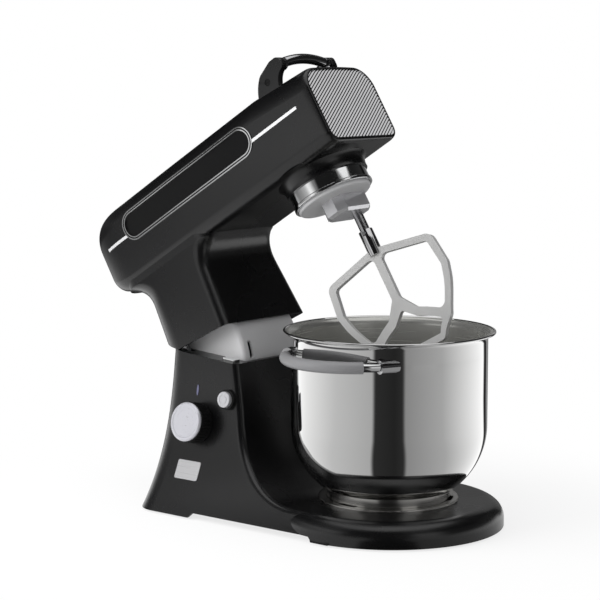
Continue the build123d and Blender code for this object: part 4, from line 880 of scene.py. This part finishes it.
@dataclass
class FrontFace:
    """The head's front: a black frame that curves in to a silver plate with slanting ribs.

    Attributes:
        frame_depth: length of the frame's curve along the head.
        frame_inset: how far that curve draws the frame's edge in.
        loops: cuts along the curve.
        rim: width of the plate's flat rim.
        step: height of the rim above the ribs.
        pitch: distance between ribs.
        rib_depth: depth of the valleys.
        rib_angle: slant of the ribs from level, in degrees.
        facing: part of a normal along the head above which a face looks forward or back.
        sideways: part of a normal along the head below which a face is one of the sides.
        near: distance from the ribs' field within which a point is on it.
        crease: angle in degrees above which an edge stays sharp.
    """

    frame_depth: float = 0.0085
    frame_inset: float = 0.0022
    loops: int = 7
    rim: float = 0.0013
    step: float = 0.0002
    pitch: float = 0.00315
    rib_depth: float = 0.0009
    rib_angle: float = 34.3
    facing: float = 0.99
    sideways: float = 0.5
    near: float = 0.00001
    crease: float = 25.0

    def black_frame(self) -> bpy.types.Object:
        """Curve the frame's outside in towards the plate.

        Returns:
            The frame.
        """
        mesh = merged_copy("front_bezel", lowered=True)
        front = max(v.co.x for v in mesh.verts)
        for k in range(1, self.loops):
            cut_across(mesh, RIGHT * (front - self.frame_depth * (1 - sin(pi / 2 * k / self.loops))), RIGHT)
        mesh.normal_update()
        centre = UP * (sum(v.co.z for v in mesh.verts) / len(mesh.verts))
        moves = []
        for vert in mesh.verts:
            share = 1 + (vert.co.x - front) / self.frame_depth
            sides = [f.normal for f in vert.link_faces if abs(f.normal.x) < self.sideways]
            away = sum(sides, Vector()) * Vector((0, 1, 1))
            if share > 0 and away.dot(vert.co - centre) > 0:
                inset = self.frame_inset * (1 - (1 - min(share, 1) ** 2) ** 0.5)
                moves.append((vert, away.normalized() * inset))
        for vert, move in moves:
            vert.co -= move
        raise_mesh(mesh)
        return new_piece("front_bezel_round", "front_bezel", mesh, [BLACK_SATIN], "head",
                         self.crease)

    def ribbed_plate(self) -> bpy.types.Object:
        """Cut the plate's front into slanting ribs inside a flat rim.

        Returns:
            The plate.
        """
        mesh = merged_copy("front_plate", lowered=True)
        depth = max(v.co.x for v in mesh.verts) - min(v.co.x for v in mesh.verts)
        rest = [f for f in mesh.faces if f.normal.x > -self.facing]
        bmesh.ops.delete(mesh, geom=rest, context="FACES")
        grown = bmesh.ops.extrude_face_region(mesh, geom=mesh.faces[:])["geom"]
        front = [v for v in grown if isinstance(v, bmesh.types.BMVert)]
        bmesh.ops.translate(mesh, vec=RIGHT * depth, verts=front)
        field = [f for f in grown if isinstance(f, bmesh.types.BMFace)]
        bmesh.ops.holes_fill(mesh, edges=[e for e in mesh.edges if e.is_boundary], sides=0)
        bmesh.ops.recalc_face_normals(mesh, faces=mesh.faces)
        bmesh.ops.inset_region(mesh, faces=field, thickness=self.rim, use_even_offset=True)
        bmesh.ops.inset_region(mesh, faces=field, thickness=self.step, depth=-self.step, use_even_offset=True)
        self._ribs(mesh, field[0])
        raise_mesh(mesh)
        return new_piece("front_plate_ribbed", "front_plate", mesh, [RIB_SILVER], "head",
                         self.crease)

    def _ribs(self, mesh: BMesh, field: bmesh.types.BMFace) -> None:
        """Cut the field inside the rim into strips and sink every other line between them.

        Args:
            mesh: the plate with the head down.
            field: the face inside the rim.
        """
        slant = radians(self.rib_angle)
        across = Vector((0.0, -sin(slant), cos(slant)))
        middle = sum((v.co for v in field.verts), Vector()) / len(field.verts)
        reach = max(abs(across.dot(v.co - middle)) for v in field.verts)
        level = field.verts[0].co.x
        count = int(reach / self.pitch * 2) + 1
        for k in range(-count, count + 1):
            ahead = [f for f in mesh.faces if f.normal.x > self.facing]
            strips = [f for f in ahead if abs(f.calc_center_median().x - level) < self.near]
            edges = {e for f in strips for e in f.edges}
            verts = {v for f in strips for v in f.verts}
            cut_across(mesh, middle + across * self.pitch * k / 2, across, [*strips, *edges, *verts])
        for vert in mesh.verts:
            if abs(vert.co.x - level) < self.near:
                turn = across.dot(vert.co - middle) / self.pitch % 1.0
                vert.co.x -= self.rib_depth * abs(2 * turn - 1)

    def build(self) -> None:
        """Make the frame and the plate."""
        self.black_frame()
        self.ribbed_plate()


@dataclass(frozen=True)
class Softbox:
    """A soft square lamp that faces the mixer and isn't seen in its reflections.

    Attributes:
        name: the lamp's name.
        azimuth: its direction in degrees, as the camera's.
        distance: its horizontal distance.
        height: its middle's height.
        size: its width and height.
        power: its power in watts.
        target: the point that it faces.
    """

    name: str
    azimuth: float
    distance: float
    height: float
    size: float
    power: float
    target: Colour = (-0.08, 0.0, 0.22)

    def build(self) -> None:
        """Add the lamp."""
        data = bpy.data.lights.new(self.name, "AREA")
        data.size = self.size
        data.energy = self.power
        lamp = bpy.data.objects.new(self.name, data)
        lamp.visible_glossy = False
        turn = radians(self.azimuth)
        lamp.location = (sin(turn) * self.distance, -cos(turn) * self.distance, self.height)
        lamp.rotation_euler = (Vector(self.target) - lamp.location).to_track_quat("-Z", "Y").to_euler()
        bpy.context.scene.collection.objects.link(lamp)


@dataclass
class Studio:
    """The photograph's camera, its pale floor and its soft light.

    Attributes:
        azimuth: the camera's direction from the bowl's axis, in degrees from -Y towards +X.
        distance: its horizontal distance.
        height: its height above the table.
        aim: azimuth of the optical axis in degrees.
        pitch: how far it looks down, in degrees.
        lens: focal length in millimetres.
        sensor: width of the sensor in millimetres.
        floor_radius: radius of the floor.
        floor_sides: edges round it.
        floor_colour: the floor's colour in the lamps' light.
        middle: the point of the floor that the shadow lies round.
        shadow_reach: distances from there between which the shadow fades.
        shadow_fade: share of plain white over the floor, near and far.
        backlight: colour of the even light all round.
        wall_radius: radius of the ring of softboxes.
        wall_height: its height.
        wall_sides: faces round it.
        bands: brightness near the floor by degrees to the right of the camera.
        upper_bands: brightness of the ring higher up.
        band_rise: heights between which the one goes over into the other.
        heights: brightness of the ring by height.
        lamps: the lamps.
    """

    azimuth: float = 36.4
    distance: float = 2.0261
    height: float = 0.4953
    aim: float = 39.1
    pitch: float = 7.1
    lens: float = 114.7
    sensor: float = 36.0
    floor_radius: float = 6.0
    floor_sides: int = 96
    floor_colour: Colour = (0.9, 0.9, 0.9)
    middle: Colour = (-0.08, 0.0, 0.0)
    shadow_reach: Span = (0.18, 0.5)
    shadow_fade: Span = (0.76, 1.0)
    backlight: Colour = (0.58, 0.58, 0.585)
    wall_radius: float = 0.85
    wall_height: float = 1.3
    wall_sides: int = 128
    bands: Table = (
        (-180, 0.05), (-150, 0.05), (-146, 0.02), (-140, 0.02), (-136, 1.4), (-105, 1.0), (-60, 0.62),
        (-18, 0.47), (-15, 0.03), (6, 0.02), (15, 0.03), (18, 0.3), (60, 0.46), (105, 0.95), (134, 1.25),
        (138, 0.02), (146, 0.02), (150, 0.3), (180, 0.1))
    upper_bands: Table = (
        (-180, 0.04), (-136, 0.06), (-105, 0.17), (-85, 0.62), (-60, 0.85), (-48, 0.7), (-43, 0.045),
        (22, 0.05), (27, 0.75), (50, 0.75), (55, 0.06), (105, 0.07), (134, 0.1), (138, 0.02), (146, 0.02),
        (150, 0.35), (180, 0.3))
    band_rise: Span = (0.05, 0.2)
    heights: Table = (
        (0.0, 1.0), (0.12, 1.0), (0.24, 0.55), (0.33, 0.7), (0.4, 1.3), (0.46, 0.9), (0.53, 0.28), (1.3, 0.2))
    lamps: tuple[Softbox, ...] = (Softbox("LeftSoftbox", -38.0, 1.7, 0.9, 1.6, 33.0),
                                  Softbox("TopSoftbox", 36.0, 0.35, 2.2, 1.5, 12.0))

    def camera(self) -> None:
        """Place the camera at the photograph's viewpoint."""
        data = bpy.data.cameras.new("PhotoCamera")
        data.sensor_width = self.sensor
        data.lens = self.lens
        eye = bpy.data.objects.new("PhotoCamera", data)
        turn = radians(self.azimuth)
        eye.location = (sin(turn) * self.distance, -cos(turn) * self.distance, self.height)
        aim, pitch = radians(self.aim), radians(self.pitch)
        forward = Vector((-sin(aim) * cos(pitch), cos(aim) * cos(pitch), -sin(pitch)))
        eye.rotation_euler = forward.to_track_quat("-Z", "Y").to_euler()
        bpy.context.scene.collection.objects.link(eye)
        bpy.context.scene.camera = eye

    def _levels(self, nodes: Nodes, value: Socket, table: Table) -> Socket:
        """Look a value up in a table of places and brightnesses.

        Args:
            nodes: the tree's helper.
            value: the socket to look up.
            table: places in rising order, each with its brightness.

        Returns:
            The socket of the brightness.
        """
        low, high = table[0][0], table[-1][0]
        ramp = nodes.add("ShaderNodeValToRGB", nodes.ranged(value, (low, high)))
        stops = ramp.color_ramp.elements
        for place, _ in table[1:-1]:
            stops.new((place - low) / (high - low))
        for stop, (place, level) in zip(stops, table):
            stop.position = (place - low) / (high - low)
            stop.color = (level, level, level, 1)
        return ramp.outputs["Color"]

    def _bands(self, name: str, table: Table) -> bpy.types.NodeTree:
        """Group for the brightness of the softboxes and the dark flag, by direction round the mixer.

        Args:
            name: the group's name.
            table: directions in degrees to the right of the camera, each with its brightness.

        Returns:
            The group.
        """
        nodes, entry, leave = Relief.start(name, {"Turn": self.azimuth - 90.0}, ["Level"])
        x, y, _ = nodes.parts(nodes.place())
        angle = nodes.maths("DEGREES", nodes.maths("ARCTAN2", y, x))
        wrapped = nodes.maths("WRAP", nodes.maths("SUBTRACT", angle, entry["Turn"]), 180.0, -180.0)
        nodes.join(self._levels(nodes, wrapped, table), leave["Level"])
        return nodes.tree

    def _stage(self, name: str, mesh: BMesh) -> tuple[Nodes, bpy.types.Object]:
        """Turn a bmesh into a piece of the stage with an empty material.

        Args:
            name: the piece's name.
            mesh: its shape, freed here.

        Returns:
            The node helper of its material, and the object.
        """
        data = bpy.data.meshes.new(name)
        mesh.to_mesh(data)
        mesh.free()
        piece = bpy.data.objects.new(name, data)
        bpy.context.scene.collection.objects.link(piece)
        material = bpy.data.materials.new(name)
        material.use_nodes = True
        material.node_tree.nodes.clear()
        data.materials.append(material)
        return Nodes(material.node_tree), piece

    def floor(self, bands: bpy.types.NodeTree) -> None:
        """Lay a white floor that keeps the mixer's shadow, and shows the softboxes in reflections.

        Args:
            bands: the softboxes' brightness.
        """
        mesh = bmesh.new()
        bmesh.ops.create_circle(mesh, cap_ends=True, segments=self.floor_sides, radius=self.floor_radius)
        nodes, _ = self._stage("StudioFloor", mesh)
        lit = nodes.add("ShaderNodeBsdfDiffuse", (*self.floor_colour, 1))
        path = nodes.add("ShaderNodeLightPath").outputs
        reach = nodes.vector("DISTANCE", nodes.place(), self.middle)
        fade = nodes.ranged(reach, self.shadow_reach, self.shadow_fade, "SMOOTHSTEP")
        white = nodes.maths("MULTIPLY", path["Is Camera Ray"], fade)
        seen = nodes.mixed(white, lit, nodes.add("ShaderNodeEmission"))
        level = nodes.add("ShaderNodeGroup", node_tree=bands)
        mirrored = nodes.add("ShaderNodeEmission", level.outputs["Level"])
        bright = nodes.maths("MAXIMUM", path["Is Glossy Ray"], path["Is Transmission Ray"])
        nodes.show(nodes.mixed(bright, seen, mirrored))

    def walls(self, bands: bpy.types.NodeTree, upper: bpy.types.NodeTree) -> None:
        """Stand a ring of softboxes and a dark flag round the mixer, seen only in its reflections.

        Args:
            bands: the ring's brightness near the floor.
            upper: its brightness higher up.
        """
        mesh = bmesh.new()
        bmesh.ops.create_cone(mesh, cap_ends=False, segments=self.wall_sides, radius1=self.wall_radius,
                              radius2=self.wall_radius, depth=self.wall_height)
        bmesh.ops.translate(mesh, verts=mesh.verts, vec=UP * self.wall_height / 2)
        nodes, ring = self._stage("SoftboxRing", mesh)
        ring.visible_camera = False
        ring.visible_diffuse = False
        ring.visible_shadow = False
        height = nodes.parts(nodes.place())[2]
        level = nodes.add("ShaderNodeMix")
        nodes.join(nodes.ranged(height, self.band_rise, curve="SMOOTHSTEP"), level.inputs["Factor"])
        for label, group in (("A", bands), ("B", upper)):
            nodes.join(nodes.add("ShaderNodeGroup", node_tree=group).outputs["Level"], level.inputs[label])
        colour = self._levels(nodes, height, self.heights)
        nodes.show(nodes.add("ShaderNodeEmission", colour, level.outputs["Result"]))

    def world(self) -> None:
        """Surround the mixer with a white backdrop and even light."""
        world = bpy.data.worlds.new("StudioWorld")
        bpy.context.scene.world = world
        world.use_nodes = True
        world.node_tree.nodes.clear()
        nodes = Nodes(world.node_tree)
        path = nodes.add("ShaderNodeLightPath").outputs
        seen = nodes.maths("MAXIMUM", path["Is Camera Ray"], path["Is Transmission Ray"])
        bright = nodes.maths("MAXIMUM", seen, path["Is Glossy Ray"])
        backdrop = nodes.add("ShaderNodeBackground", (1, 1, 1, 1))
        light = nodes.add("ShaderNodeBackground", (*self.backlight, 1))
        nodes.show(nodes.mixed(bright, light, backdrop), "ShaderNodeOutputWorld")

    def build(self) -> None:
        """Set up camera, floor, backdrop and lamps."""
        self.camera()
        bands = self._bands("SoftboxBands", self.bands)
        self.floor(bands)
        self.walls(bands, self._bands("UpperSoftboxBands", self.upper_bands))
        self.world()
        for lamp in self.lamps:
            lamp.build()
        bpy.context.scene.view_settings.view_transform = "Standard"


def main() -> None:
    """Dress the CAD pieces, add the modelled ones and set up the studio."""
    logging.basicConfig(level=logging.INFO)
    for finish, names in NODE_FINISHES.items():
        for name in names:
            dress_node(name, finish)
    for part in (MixingBowl(), Beater(), SpeedKnob(), ButtonSpring(), LiftHandle(), FrontFace()):
        part.build()
    Studio().build()


if __name__ == "__main__":
    main()
